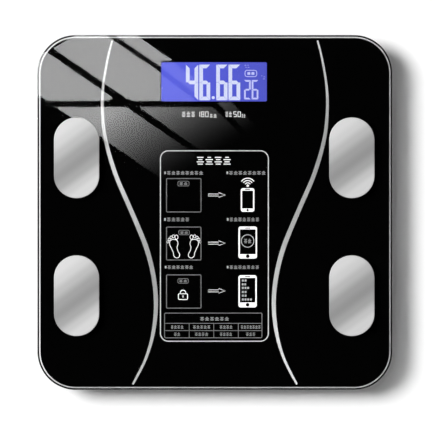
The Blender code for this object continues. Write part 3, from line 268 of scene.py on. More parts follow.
def buildGrain():
    # moulded or cast surface: fine noise for height, broad noise for tone and gloss
    group, start, end = newGroup(
        "mouldedGrain",
        [("Colour", "NodeSocketColor", None), ("Fine", "NodeSocketFloat", 1500.0),
         ("Broad", "NodeSocketFloat", 40.0), ("Tone", "NodeSocketFloat", 0.1),
         ("Gloss", "NodeSocketFloat", 0.4), ("Gloss Change", "NodeSocketFloat", 0.1)],
        [("Colour", "NodeSocketColor"), ("Roughness", "NodeSocketFloat"), ("Height", "NodeSocketFloat")],
    )
    place = objectPlace(group)
    colour, toneShare = start.outputs["Colour"], start.outputs["Tone"]
    fine = addNode(group, "ShaderNodeTexNoise", {"Vector": place, "Scale": start.outputs["Fine"]}, Detail=3.0)
    broad = addNode(group, "ShaderNodeTexNoise", {"Vector": place, "Scale": start.outputs["Broad"]}, Detail=4.0)
    centred = calculate(group, "SUBTRACT", broad.outputs["Fac"], 0.5)
    lift = calculate(group, "ADD", calculate(group, "MULTIPLY", centred, toneShare), 1.0)
    shade = addNode(group, "ShaderNodeVectorMath", {0: colour, 1: lift}, operation="MULTIPLY")
    group.links.new(shade.outputs[0], end.inputs["Colour"])
    group.links.new(glossAbout(group, start, centred), end.inputs["Roughness"])
    group.links.new(fine.outputs["Fac"], end.inputs["Height"])
    return group


def buildBrush():
    # brushed or rolled metal: noise stretched along one direction
    group, start, end = newGroup(
        "brushedLines",
        [("Vector", "NodeSocketVector", None), ("Stretch", "NodeSocketVector", (1.0, 30.0, 1.0)),
         ("Scale", "NodeSocketFloat", 60.0), ("Gloss", "NodeSocketFloat", 0.35),
         ("Gloss Change", "NodeSocketFloat", 0.15)],
        [("Lines", "NodeSocketFloat"), ("Roughness", "NodeSocketFloat")],
    )
    vector, stretch, scale = start.outputs["Vector"], start.outputs["Stretch"], start.outputs["Scale"]
    scaled = addNode(group, "ShaderNodeVectorMath", {0: vector, 1: stretch}, operation="MULTIPLY")
    lines = addNode(group, "ShaderNodeTexNoise", {"Vector": scaled.outputs[0], "Scale": scale}, Detail=4.0)
    centred = calculate(group, "SUBTRACT", lines.outputs["Fac"], 0.5)
    group.links.new(lines.outputs["Fac"], end.inputs["Lines"])
    group.links.new(glossAbout(group, start, centred), end.inputs["Roughness"])
    return group


grainGroup = buildGrain()
brushGroup = buildBrush()


def newMaterial(name, colour=(0.8, 0.8, 0.8), **values):
    material = bpy.data.materials.new(name)
    material.use_nodes = True
    tree = material.node_tree
    shader = tree.nodes["Principled BSDF"]
    shader.inputs["Base Color"].default_value = (*colour, 1)
    for key, value in values.items():
        shader.inputs[key.replace("_", " ")].default_value = value
    return material, tree, shader


def addRelief(tree, shader, roughness, height, depth, strength):
    # gloss and a fine bump from a pattern
    bump = addNode(tree, "ShaderNodeBump", {"Height": height}, Distance=depth, Strength=strength)
    tree.links.new(roughness, shader.inputs["Roughness"])
    tree.links.new(bump.outputs[0], shader.inputs["Normal"])


def addBrush(tree, place, stretch, scale, gloss, change):
    return addNode(tree, "ShaderNodeGroup", {"Vector": place}, node_tree=brushGroup,
                   Stretch=stretch, Scale=scale, Gloss=gloss, Gloss_Change=change)


def grained(name, colour, fine=1500.0, broad=40.0, tone=0.15, gloss=0.45, change=0.12, depth=0.00002, **values):
    # Principled surface whose tone, gloss and height come from the moulded grain
    material, tree, shader = newMaterial(name, colour, **values)
    grain = addNode(tree, "ShaderNodeGroup", node_tree=grainGroup, Colour=(*colour, 1), Fine=fine, Broad=broad,
                    Tone=tone, Gloss=gloss, Gloss_Change=change)
    tree.links.new(grain.outputs["Colour"], shader.inputs["Base Color"])
    addRelief(tree, shader, grain.outputs["Roughness"], grain.outputs["Height"], depth, 0.8)
    return material


def grainOf(material):
    return next(node for node in material.node_tree.nodes if node.bl_idname == "ShaderNodeGroup")


def brushed(name, colour, scale, gloss):
    # metal with drawn or rolled lines, on the piece's own place
    material, tree, shader = newMaterial(name, colour, Metallic=1.0)
    lines = addBrush(tree, objectPlace(tree), (1.0, 30.0, 1.0), scale, gloss, 0.15)
    addRelief(tree, shader, lines.outputs["Roughness"], lines.outputs["Lines"], 0.000005, 0.6)
    return material


# finishes

def makeGlass():
    # a faint smudge varies the gloss
    material, tree, shader = newMaterial(
        "toughenedGlass", (0.975, 0.99, 0.985), Transmission_Weight=1.0, IOR=1.5, Roughness=0.03
    )
    smudge = addNode(tree, "ShaderNodeTexNoise", {"Vector": objectPlace(tree)}, Scale=14.0, Detail=5.0)
    spread = addNode(tree, "ShaderNodeMapRange", {"Value": smudge.outputs["Fac"]},
                     From_Min=0.4, From_Max=0.75, To_Min=0.009, To_Max=0.012)
    tree.links.new(spread.outputs[0], shader.inputs["Roughness"])
    return material


def addRamp(tree, factor, stops, lift=1.0):
    # a grey tone that passes smoothly through (place, tone) stops, each tone times lift
    ramp = addNode(tree, "ShaderNodeValToRGB", {"Fac": factor})
    ramp.color_ramp.interpolation = "EASE"
    ramp.color_ramp.elements[0].position = stops[0][0]
    ramp.color_ramp.elements[1].position = stops[-1][0]
    for position, _ in stops[1:-1]:
        ramp.color_ramp.elements.new(position)
    for element, (_, value) in zip(ramp.color_ramp.elements, stops):
        element.color = (value * lift, value * lift, value * lift, 1)
    return ramp.outputs["Color"]


# painted reflection and shade for the electrodes: tone stops of a diagonal band, darker in the middle and lighter
# towards both sides
steelPaintedBand = {
    "turn": -36,  # degrees
    "stops": [(0.14, 0.744), (0.22, 0.638), (0.33, 0.435), (0.443, 0.345), (0.55, 0.402), (0.673, 0.561),
              (0.78, 0.704), (0.88, 0.777)],
}


def makePaintedBandSteel(name, lift):
    # painted reflection and shade: a brushed tone that dips in a diagonal band across the middle, on the piece's own
    # map
    material, tree, shader = newMaterial(name, (0.7, 0.7, 0.7), Metallic=0.6)
    place = addNode(tree, "ShaderNodeUVMap").outputs["UV"]
    turned = addNode(tree, "ShaderNodeMapping", {"Vector": place}, Rotation=(0, 0, math.radians(steelPaintedBand["turn"])))
    across = splitAxes(tree, turned.outputs[0])["Y"]
    tone = addNode(tree, "ShaderNodeMapRange", {"Value": across}, From_Min=-1.0, From_Max=1.0)
    shade = addRamp(tree, tone.outputs[0], steelPaintedBand["stops"], lift)
    lines = addBrush(tree, place, (2.0, 60.0, 1.0), 4.0, 0.6, 0.08)
    tree.links.new(shade, shader.inputs["Base Color"])
    addRelief(tree, shader, lines.outputs["Roughness"], lines.outputs["Lines"], 0.000004, 0.5)
    return material


def makeInk(name, colour, gloss=0.5):
    # screen-printed ink: a fine mesh mottle in tone
    return grained(name, colour, fine=2500.0, broad=300.0, tone=0.08, gloss=gloss, change=0.1, depth=0.000002)


# painted shade and sheen for the side curves: tone stops along a slant, darkest near the middle
curvePaintedShade = {
    "lean": 0.67, "span": 320 * mm,
    "stops": [(0.109, 0.514), (0.256, 0.36), (0.372, 0.264), (0.484, 0.231), (0.628, 0.332), (0.734, 0.438),
              (0.816, 0.50), (0.891, 0.46), (0.96, 0.47), (1.0, 0.62)],
}


def makePaintedCurveInk():
    # a silver ink with painted shade and sheen, whose tone runs across it on the slant: place on the ramp = 0.5 + (y -
    # lean x) / span
    material = makeInk("curvePaintedInk", (0.6, 0.6, 0.6))
    tree = material.node_tree
    slant = addNode(tree, "ShaderNodeVectorMath", {0: objectPlace(tree)}, operation="DOT_PRODUCT")
    slant.inputs[1].default_value = (-curvePaintedShade["lean"] / curvePaintedShade["span"], 1 / curvePaintedShade["span"], 0)
    along = calculate(tree, "ADD", slant.outputs["Value"], 0.5)
    tree.links.new(addRamp(tree, along, curvePaintedShade["stops"]), grainOf(material).inputs["Colour"])
    return material


def makeLit(name, colour, mottle, scale, fall=0.0):
    # a lit surface whose glow changes softly across it, and falls off from left to right by a share per metre
    material, tree, shader = newMaterial(name, (0.01, 0.01, 0.02), Roughness=0.7, Specular_IOR_Level=0.05)
    place = objectPlace(tree)
    soft = addNode(tree, "ShaderNodeTexNoise", {"Vector": place}, Scale=scale, Detail=2.0)
    spread = addNode(tree, "ShaderNodeMapRange", {"Value": soft.outputs["Fac"]},
                     To_Min=1.0 - mottle, To_Max=1.0 + mottle)
    side = calculate(tree, "MULTIPLY_ADD", splitAxes(tree, place)["X"], -fall, 1.0)
    level = calculate(tree, "MULTIPLY", spread.outputs[0], side)
    glow = addNode(tree, "ShaderNodeVectorMath", {1: level}, operation="MULTIPLY")
    glow.inputs[0].default_value = colour
    tree.links.new(glow.outputs[0], shader.inputs["Emission Color"])
    shader.inputs["Emission Strength"].default_value = 1.0
    return material


glassFinish = makeGlass()
# electrode steel carrying the painted band of reflection and shade
paintedBandFinish = makePaintedBandSteel("paintedBandSteel", 0.87)
# a lighter copy of the same steel and painted band: a painted highlight on the electrode rims
paintedRimFinish = makePaintedBandSteel("paintedRimSteel", 1.13)
blackInk = grained("blackInk", (0.0006, 0.0006, 0.0006), fine=900.0, tone=0.2, gloss=0.9, change=0.0,
                   depth=0.0, Specular_IOR_Level=0.0)
whiteInk = makeInk("whiteInk", (0.92, 0.92, 0.92))
brightInk = makeInk("brightInk", (0.76, 0.76, 0.76))
silverInk = makeInk("silverInk", (0.46, 0.46, 0.465))
greyInk = makeInk("greyInk", (0.34, 0.34, 0.345))
darkInk = makeInk("darkInk", (0.12, 0.12, 0.122))
keylineInk = makeInk("keylineInk", (0.50, 0.50, 0.505))
# silver curve ink with painted shade and sheen across it
curvePaintedInk = makePaintedCurveInk()
litBlue = makeLit("litBlue", (0.079, 0.096, 0.69), 0.04, 60.0, fall=4.0)
litDigit = makeLit("litDigit", (0.73, 0.77, 1.0), 0.03, 200.0)
litFaint = makeLit("litFaint", (0.58, 0.60, 0.98), 0.03, 200.0)
print("finishes ready")


# glass platform, its black backing and its prints

glassForm = {"edgeRound": 0.4 * mm, "cornerSteps": 28, "edgeSteps": 6, "corner": 28 * mm}
inkForm = {"inset": 0.42 * mm, "low": glassLow.z - 0.08 * mm, "high": glassLow.z + 0.03 * mm, "skirt": 0.07 * mm}
panelMiddle = middleOf(panelLow, panelHigh)
window = {"centre": (panelMiddle[0] - 0.6 * mm, panelMiddle[1] + 0.25 * mm),
          "width": 77.4 * mm, "depth": 28.7 * mm, "corner": 0.9 * mm}
studHole = {"radius": 2.5 * mm, "steps": 24}
printLow = inkForm["high"] - 0.01 * mm
printTop = inkForm["high"] + 0.03 * mm
width, depth = glassHigh.x - glassLow.x, glassHigh.y - glassLow.y
studPlaces = [middleOf(*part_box("electrode_stud_" + corner)) for corner in corners]


def insetOutline(inset):
    return roundedRect(width - 2 * inset, depth - 2 * inset, glassForm["corner"] - inset, glassForm["cornerSteps"])


def slabRings(low, high, rounding, steps):
    # inset = r (1 - sin a), height = r (1 - cos a), at the lower edge and mirrored at the upper one
    a = np.linspace(0, math.pi / 2, steps + 1)
    inset = rounding * (1 - np.sin(a))
    lift = rounding * (1 - np.cos(a))
    levels = list(zip(inset, low + lift)) + list(zip(inset[::-1], (high - lift)[::-1]))
    return [ring(insetOutline(i), z) for i, z in levels]


def studCutters(top):
    profile = [(studHole["radius"], glassLow.z - mm), (studHole["radius"], top)]
    return [lathe(profile, studHole["steps"], place) for place in studPlaces]


glassRings = slabRings(glassLow.z, glassHigh.z, glassForm["edgeRound"], glassForm["edgeSteps"])
glassMesh = combine(makeMesh("glassSlab", [loft(glassRings)]), studCutters(glassHigh.z + mm), "DIFFERENCE")
glassSlab = addPiece("glassSlab", glassMesh, glassFinish, "scale", ["glass_platform"])
glassSlab.visible_shadow = False
flatNormals = glassSlab.modifiers.new("flatNormals", "WEIGHTED_NORMAL")
flatNormals.weight = 100
flatNormals.keep_sharp = True

inkMesh = makeMesh("blackBacking", [slab(insetOutline(inkForm["inset"]), inkForm["low"], inkForm["high"])])
windowOutline = roundedRect(window["width"], window["depth"], window["corner"], 4, window["centre"])
inkHoles = [slab(windowOutline, glassLow.z - mm, glassHigh.z)] + studCutters(glassHigh.z)
inkMesh = combine(inkMesh, inkHoles, "DIFFERENCE")
addPiece("blackBacking", inkMesh, blackInk, "scale")

# black edge just inside the glass's side
skirt = {"low": glassLow.z + glassForm["edgeRound"], "high": glassLow.z + 0.75 * mm, "wall": 0.4 * mm}
skirtMesh = makeMesh("blackEdge", [slab(insetOutline(inkForm["skirt"]), skirt["low"], skirt["high"])])
skirtHole = slab(insetOutline(inkForm["skirt"] + skirt["wall"]), skirt["low"] - mm, skirt["high"] + mm)
skirtMesh = combine(skirtMesh, [skirtHole], "DIFFERENCE")
addPiece("blackEdge", skirtMesh, blackInk, "scale")

# keyline near the edge, cut as a shallow bevel that slopes outwards
keyline = {"inset": 1.15 * mm, "width": 0.95 * mm, "slope": 1.1 * mm}
edgePath = insetOutline(keyline["inset"] + keyline["width"] / 2)
keylineHigh = printTop + keyline["slope"]
addPiece("edgeKeyline", [band(edgePath, keyline["width"], printLow, keylineHigh, True, printTop)],
         keylineInk, "scale")

# side curves: a waist on each side, widest in the middle of its length
waist = {
    "edge": [75.2, 76.9, 79.5, 81.5, 82.5, 82.3, 81.3, 78.9, 75.5, 71.3, 66.1, 60.8,
             55.7, 50.9, 47.3, 44.8, 43.4, 43.3, 44.5, 47.0, 51.0, 56.9, 60.2],
    "width": [1.2, 1.3, 1.5, 1.65, 1.9, 2.1, 2.5, 2.7, 2.95, 3.0, 3.15, 3.2,
              3.3, 3.4, 3.3, 3.2, 3.1, 2.9, 2.7, 2.2, 1.85, 1.6, 1.3],
    "rows": [126.0, *range(120, -121, -12), -126.0],
}
curve = smoothLine(np.stack([-np.array(waist["edge"]), waist["rows"]], axis=1) * mm, 90)
curveWidths = np.interp(-curve[:, 1], -np.array(waist["rows"]) * mm, np.array(waist["width"]) * mm)
sideCurves = [band(curve, curveWidths, printLow, printTop), band(curve * [-1, 1], curveWidths, printLow, printTop)]
# the side curves carry the ink with painted shade and sheen
addPiece("sideCurves", sideCurves, curvePaintedInk, "scale")
print("platform ready")


# electrodes: crowned stadium plates with a rolled edge

# one of these is the width at the rim that is painted lighter as a highlight
electrodeForm = {"crown": 0.05 * mm, "roll": 0.32 * mm, "trim": 0.4 * mm, "paintedRimWidth": 0.5 * mm, "rings": 14,
                 "arcSteps": 36, "tuck": 0.3 * mm, "gap": 0.02 * mm, "base": 0.1 * mm, "crowding": 1.6, "reach": 0.985}


def stadiumRing(centre, radius, straight, height):
    # half circles of one radius at both ends of a straight stretch
    a = np.linspace(0, math.pi, electrodeForm["arcSteps"] + 1)
    top = np.stack([radius * np.cos(a), straight / 2 + radius * np.sin(a)], axis=1)
    outline = np.concatenate([top, -top]) + centre
    return ring(outline, height)


def electrodeRings(centre, radius, straight, low, high):
    # height above the base = roll at the rim (a quarter ellipse) plus a crown that falls off as the square
    d = radius * np.linspace(0, 1, electrodeForm["rings"]) ** electrodeForm["crowding"] * electrodeForm["reach"]
    roll = electrodeForm["roll"]
    rim = np.sqrt(np.clip(1 - (1 - np.clip(d / roll, 0, 1)) ** 2, 0, 1))
    crown = electrodeForm["crown"]
    heights = high - crown * ((radius - d) / radius) ** 2 - (high - crown - low) * (1 - rim)
    return [stadiumRing(centre, radius - inset, straight, z) for inset, z in zip(d, heights)]


for corner in corners:
    low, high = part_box("electrode_plate_" + corner)
    radius = (high.x - low.x) / 2
    straight = high.y - low.y - 2 * radius
    radius -= electrodeForm["trim"]
    centre = np.array(middleOf(low, high)) - [electrodeForm["trim"], 0]
    rings = [stadiumRing(centre, radius - electrodeForm["tuck"], straight, glassHigh.z + electrodeForm["gap"])]
    rings += electrodeRings(centre, radius, straight, glassHigh.z + electrodeForm["base"], high.z)
    name = "electrode_" + corner
    plate = makeMesh(name, [loft(rings)])
    points = readArray(plate.vertices, "co", 3)[:, :2] - centre
    places = points[readArray(plate.loops, "vertex_index", 1, int).ravel()] / (straight + 2 * radius) * 2
    plate.uv_layers.new(name="plateMap").data.foreach_set("uv", places.ravel())
    piece = addPiece(name, plate, paintedBandFinish, "scale", ["electrode_plate_" + corner], 40)
    # faces within this width of the outline carry the lighter copy of the finish, a painted highlight along the rolled
    # rim
    piece.data.materials.append(paintedRimFinish)
    middles = readArray(plate.polygons, "center", 3)[:, :2] - centre
    reach = radius - np.hypot(middles[:, 0], np.clip(np.abs(middles[:, 1]) - straight / 2, 0, None))
    plate.polygons.foreach_set("material_index", (reach < electrodeForm["paintedRimWidth"]).astype(np.int32))
print("electrodes ready")


# lit display: cell, numerals and small marks

numerals = {"low": 82.3 * mm, "high": 108.4 * mm, "stroke": 2.7 * mm, "gap": 0.09 * mm,
            "digits": (("4", -21.2, 9.0), ("6", -11.4, 8.0), ("6", 1.0, 8.3), ("6", 10.0, 8.6))}
segmentsOf = {"0": "abcdef", "1": "bc", "2": "abged", "4": "fgbc", "5": "afgcd", "6": "afgedc", "8": "abcdefg"}


def segment(name, w, h, t, gap):
    # mitred segments of a seven-segment numeral in a w by h box; a at the top, then clockwise, g across the middle
    m = h / 2
    shapes = {
        "a": [(gap, h), (w - gap, h), (w - t - gap, h - t), (t + gap, h - t)],
        "b": [(w, h - gap), (w, m + gap), (w - t / 2, m + gap), (w - t, m + t / 2), (w - t, h - t - gap)],
        "c": [(w, m - gap), (w, gap), (w - t, t + gap), (w - t, m - t / 2), (w - t / 2, m - gap)],
        "d": [(gap, 0), (t + gap, t), (w - t - gap, t), (w - gap, 0)],
        "e": [(0, gap), (0, m - gap), (t / 2, m - gap), (t, m - t / 2), (t, t + gap)],
        "f": [(0, m + gap), (0, h - gap), (t, h - t - gap), (t, m + t / 2), (t / 2, m + gap)],
        "g": [(t / 2 + gap, m), (t + gap, m + t / 2), (w - t - gap, m + t / 2), (w - t / 2 - gap, m),
              (w - t - gap, m - t / 2), (t + gap, m - t / 2)],
    }
    return np.array(shapes[name])


def numeral(digit, x, y, w, h, t, gap, low, high):
    return [slab(segment(part, w, h, t, gap) + [x, y], low, high) for part in segmentsOf[digit]]


cellTop = panelHigh.z - 0.06 * mm
digitTop = panelHigh.z - 0.01 * mm
cellMiddle = (panelLow.z + panelHigh.z) / 2
cellWidth, cellDepth = panelHigh.x - panelLow.x, panelHigh.y - panelLow.y
backPlate = roundedRect(cellWidth, cellDepth, 0.3 * mm, 2, panelMiddle)
frontPlate = roundedRect(cellWidth, cellDepth - 2 * mm, 0.3 * mm, 2, (panelMiddle[0], panelMiddle[1] + mm))
cellShapes = [slab(backPlate, panelLow.z, cellMiddle - 0.01 * mm), slab(frontPlate, cellMiddle, cellTop)]
addPiece("displayCell", cellShapes, litBlue, "scale", ["display_panel"])


def litBar(x, y, w, h, radius):
    return slab(roundedRect(w * mm, h * mm, radius * mm, 2, (x * mm, y * mm)), cellTop, digitTop)


tall = numerals["high"] - numerals["low"]
digitShapes = []
for digit, x, w in numerals["digits"]:
    digitShapes += numeral(digit, x * mm, numerals["low"], w * mm, tall, numerals["stroke"], numerals["gap"],
                           cellTop, digitTop)
digitShapes.append(slab(circle(1.15 * mm, 14, (-1.2 * mm, numerals["low"] + 1.9 * mm)), cellTop, digitTop))
addPiece("litNumerals", digitShapes, litDigit, "scale")

faintShapes = []
for digit, x in (("2", 21.4), ("6", 27.0)):
    faintShapes += numeral(digit, x * mm, 82.9 * mm, 4.9 * mm, 14.2 * mm, 1.25 * mm, 0.1 * mm, cellTop, digitTop)
capsule = roundedRect(8.6 * mm, 4.6 * mm, 1.6 * mm, 6, (26.4 * mm, 101.9 * mm))
faintShapes.append(band(capsule, 0.55 * mm, cellTop, digitTop, True))
faintShapes += [litBar(x, 101.9, 2.2, 2.0, 0.4) for x in (24.9, 27.9)]
faintShapes += [litBar(x, y, w, 0.3, 0.1) for x, y, w in (
    (22.4, 107.9, 1.3), (24.4, 107.9, 0.9), (22.9, 106.4, 0.9), (24.7, 106.4, 1.2), (34.4, 100.2, 0.8),
    (36.2, 99.4, 1.0), (36.0, 97.9, 1.1))]
addPiece("litSmallMarks", faintShapes, litFaint, "scale")
print("display ready")


# prints behind the glass: capacity line, framed panel of pictograms, table

def boxOutline(x0, y0, x1, y1, radius, steps):
    centre = ((x0 + x1) / 2 * mm, (y0 + y1) / 2 * mm)
    return roundedRect((x1 - x0) * mm, (y1 - y0) * mm, radius * mm, steps, centre)


def frameBand(x0, y0, x1, y1, radius, line, steps=5):
    return band(boxOutline(x0, y0, x1, y1, radius, steps), line * mm, printLow, printTop, True)


def bar(x0, y0, x1, y1, radius=0.2, low=None, high=None):
    outline = boxOutline(x0, y0, x1, y1, radius, 3)
    return slab(outline, printLow if low is None else low, printTop if high is None else high)


overLayer = (printTop - 0.005 * mm, printTop + 0.02 * mm)


def overlay(x0, y0, x1, y1, radius=0.2):
    # a bar in the next ink layer, over the first
    return bar(x0, y0, x1, y1, radius, *overLayer)


def disc(x, y, radius, steps=20):
    return slab(circle(radius * mm, steps, (x * mm, y * mm)), printLow, printTop)


def hoop(x, y, radiusX, radiusY, line, turn=0.0, steps=28):
    # outline of an ellipse turned by an angle
    outline = circle(1.0, steps) * [radiusX * mm, radiusY * mm]
    c, s = math.cos(turn), math.sin(turn)
    return band(outline @ np.array([[c, s], [-s, c]]) + [x * mm, y * mm], line * mm, printLow, printTop, True)


def openLine(points, line):
    return band(np.array(points) * mm, line * mm, printLow, printTop)


def closedLine(points, line):
    return band(np.array(points) * mm, line * mm, printLow, printTop, True)


def dashes(x0, x1, y0, y1, pattern):
    # bars with gaps, their lengths in proportion to the pattern, filling x0 to x1
    lengths = np.array(pattern, float)
    gap = 0.45 * lengths.mean()
    unit = (x1 - x0) / (lengths.sum() + gap * (len(lengths) - 1))
    starts = x0 + unit * (np.cumsum(lengths) - lengths + gap * np.arange(len(lengths)))
    return [bar(a, y0, a + unit * n, y1, 0.15) for a, n in zip(starts, lengths)]


def glyphs(x0, x1, y0, y1, count):
    # stand-in for a word: cells of four short strokes one above the other
    cell = (x1 - x0) / (count + 0.25 * (count - 1))
    high = (y1 - y0) / 3.6
    stroke = 0.42 * high
    shapes = []
    for k in range(count):
        left = x0 + 1.25 * cell * k
        middle = left + cell / 2
        for row, reach in enumerate((1.0, 0.72, 1.0, 0.5) if k % 2 else (0.72, 1.0, 0.6, 0.9)):
            half = cell * reach / 2
            shapes.append(bar(middle - half, y0 + row * high, middle + half, y0 + row * high + stroke, 0.1))
    return shapes


panel = {"line": 0.7, "x": (-39.9, 39.2), "y": (-94.4, 45.2), "radius": 5.8}
boxesY = [(0.35, 24.85), (-34.85, -10.7), (-70.15, -45.75)]
inks = {"white": [], "bright": [], "silver": [], "grey": [], "dark": []}

# capacity line: strokes for the words, plain numerals for the figures
capacities = [("180", -13.2, (-24.2, -14.6), 3, (-3.8, 1.3)), ("50", 13.6, (7.7, 12.4), 2, (19.6, 22.3))]
for digits, x, before, cells, after in capacities:
    inks["bright"] += glyphs(*before, 70.2, 73.9, cells)
    for k, digit in enumerate(digits):
        inks["bright"] += numeral(digit, (x + 3.1 * k) * mm, 70.0 * mm, 2.3 * mm, 4.0 * mm, 0.42 * mm, 0.02 * mm,
                                  printLow, printTop)
    inks["bright"] += glyphs(*after, 69.6, 72.2, 2)

(panelLeft, panelRight), (panelNear, panelFar) = panel["x"], panel["y"]
inks["silver"].append(frameBand(panelLeft, panelNear, panelRight, panelFar, panel["radius"], panel["line"], 12))
inks["bright"] += glyphs(-13.3, 11.6, 35.1, 41.0, 4)
captions = [(27.8, 30.3, (-37.1, -8.8), (8.5, 37.1)), (-6.4, -3.8, (-37.1, -18.9), (8.8, 32.4)),
            (-41.3, -38.9, (-36.7, -16.1), (8.8, 32.3))]
for low, high, left, right in captions:
    for x0, x1 in (left, right):
        inks["grey"] += dashes(x0, x0 + 1.2, low + 0.3, high - 0.3, [1.0])
        inks["grey"] += glyphs(x0 + 2.0, x1, low, high, max(4, round((x1 - x0) / 3.4)))
for low, high in boxesY:
    inks["dark"].append(frameBand(-35.45, low, -10.15, high, 0.8, 0.62))

# small display in each box
for x0, x1, y0, y1 in ((-27.1, -18.9, 19.4, 22.9), (-26.5, -18.6, -16.3, -13.1), (-27.1, -19.4, -51.9, -48.5)):
    inks["dark"].append(frameBand(x0, y0, x1, y1, 1.1, 0.45))
    middle = (x0 + x1) / 2
    inks["grey"] += glyphs(middle - 2.9, middle + 2.9, y0 + 0.8, y1 - 0.8, 2)

# arrows
for y in (12.8, -22.5, -57.5):
    arrow = [(-4.8, y - 0.75), (2.8, y - 0.75), (2.8, y - 1.75), (7.6, y), (2.8, y + 1.75), (2.8, y + 0.75),
             (-4.8, y + 0.75)]
    inks["bright"].append(closedLine(arrow, 0.42))

# telephones: body, then the screen and button in black over it
phones = [
    ((19.0, 0.5, 29.0, 17.8), (20.0, 2.9, 28.0, 16.0), (24.0, 1.7, 0.85)),
    ((17.3, -33.8, 30.9, -10.3), (18.4, -30.6, 29.9, -12.4), (24.1, -32.1, 1.35)),
    ((17.3, -69.6, 30.7, -46.0), (18.3, -66.0, 29.7, -48.0), (24.0, -67.7, 1.35)),
]
screens = []
for body, screen, (x, y, radius) in phones:
    inks["white"].append(bar(*body, 1.6))
    screens.append(overlay(*screen, 0.3))
    screens.append(slab(circle(radius * mm, 18, (x * mm, y * mm)), *overLayer))
    screens.append(overlay(x - 1.9, screen[3] + 0.6, x + 1.9, screen[3] + 1.25, 0.3))

# signal arcs over the first telephone
angles = np.radians(np.linspace(36, 144, 19))
inks["bright"].append(disc(24.1, 19.6, 0.95))
for radius in (2.3, 4.0, 5.7):
    arc = np.stack([24.1 + radius * np.cos(angles), 19.4 + radius * np.sin(angles)], axis=1)
    inks["bright"].append(openLine(arc, 0.7))

# soles of two feet, mirrored about the box's middle
sole = np.array([(-27.6, -33.3), (-29.3, -32.3), (-29.9, -29.7), (-31.1, -26.8), (-32.6, -23.4),
                 (-32.3, -20.8), (-30.0, -19.7), (-27.4, -20.4), (-26.5, -22.8), (-27.2, -25.6),
                 (-26.5, -28.4), (-25.3, -31.0), (-25.9, -32.8)])
toes = [(-29.9, -17.5, 0.75), (-31.6, -18.3, 0.7), (-33.0, -19.7, 0.62), (-34.0, -21.6, 0.55)]
for side in (0, 1):
    def place(x, side=side):
        return -44.7 - x if side else x - 0.5
    outline = np.stack([place(sole[:, 0]), sole[:, 1]], axis=1)
    smooth = smoothLine(np.concatenate([outline[-3:], outline, outline[:4]]), 120)
    start = np.argmin(np.linalg.norm(smooth[:40] - outline[0], axis=1))
    end = 80 + np.argmin(np.linalg.norm(smooth[80:] - outline[0], axis=1))
    inks["bright"].append(closedLine(smooth[start:end], 0.5))
    inks["bright"].append(hoop(place(-27.6), -18.1, 1.1, 1.6, 0.42))
    inks["bright"] += [hoop(place(x), y, radius + 0.15, radius + 0.3, 0.38, 0.0, 12) for x, y, radius in toes]

# padlock
inks["bright"].append(frameBand(-26.7, -63.8, -20.0, -59.6, 0.7, 0.62))
half = np.radians(np.linspace(180, 0, 17))
shackle = np.stack([-23.35 + 2.0 * np.cos(half), -59.0 + 2.0 * np.sin(half)], axis=1)
inks["bright"].append(openLine(np.concatenate([[(-25.35, -59.9)], shackle, [(-21.35, -59.9)]]), 0.62))
inks["bright"] += [disc(-23.35, -61.4, 0.55, 12), bar(-23.6, -62.7, -23.1, -61.4, 0.1)]

# result dial and result list, in ink over the black screens
lists = [hoop(24.0, -20.9, 4.6, 4.6, 0.55)]
lists += glyphs(21.4, 26.6, -22.4, -19.3, 2)
for y, w in ((-49.9, 3.4), (-52.7, 3.1), (-55.3, 5.3), (-58.3, 3.4), (-61.0, 3.4), (-63.8, 7.3)):
    lists += dashes(19.8, 19.8 + w, y - 0.75, y + 0.75, [1.0] * max(2, round(w / 1.7)))
lift = 0.03 * mm
lists = [(np.asarray(points) + [0, 0, lift], faces) for points, faces in lists]

# table
inks["dark"].append(frameBand(-36.9, -91.9, 34.5, -73.8, 0.9, 0.55))
for y in (-81.3, -86.6):
    inks["dark"].append(bar(-36.8, y - 0.25, 34.4, y + 0.25, 0.05))
for x in (-18.8, -0.8, 17.2):
    inks["dark"].append(bar(x - 0.25, -91.8, x + 0.25, -81.4, 0.05))
words = [(-10.8, 10.2, -79.2, -76.7, 6)]
for x0, x1, count in ((-32.3, -23.1, 4), (-16.0, -3.4, 5), (3.6, 12.8, 4), (19.0, 33.5, 7)):
    words.append((x0, x1, -85.1, -82.8, count))
for x0, x1, count in ((-29.9, -25.6, 2), (-14.6, -5.1, 4), (3.7, 12.5, 4), (22.9, 29.5, 3)):
    words.append((x0, x1, -90.4, -88.1, count))
for x0, x1, y0, y1, count in words:
    inks["grey"] += glyphs(x0, x1, y0, y1, count)

inkFinishes = {"white": whiteInk, "bright": brightInk, "silver": silverInk, "grey": greyInk, "dark": darkInk}
for name, shapes in inks.items():
    addPiece("print_" + name, shapes, inkFinishes[name], "scale")
addPiece("print_screens", screens, blackInk, "scale")
addPiece("print_lists", lists, greyInk, "scale")
print("prints ready:", sum(len(shapes) for shapes in inks.values()), "shapes")


# plain finishes of the moulded, rolled and pressed pieces

boardTones = {"Color1": (0.012, 0.13, 0.055, 1), "Color2": (0.014, 0.15, 0.062, 1), "Mortar": (0.03, 0.22, 0.09, 1)}
sleeve = {"body": (0.03, 0.035, 0.045), "tip": (0.50, 0.27, 0.10), "tipFrom": 13.5 * mm}


def makeBoard():
    # laminate with lighter copper runs between oblong fields
    material = grained("boardGreen", boardTones["Color1"][:3], fine=900.0, tone=0.2, gloss=0.35)
    tree = material.node_tree
    lanes = addNode(tree, "ShaderNodeTexBrick", {"Vector": objectPlace(tree)}, Scale=120.0, Mortar_Size=0.03,
                    **boardTones)
    tree.links.new(lanes.outputs["Color"], grainOf(material).inputs["Colour"])
    return material


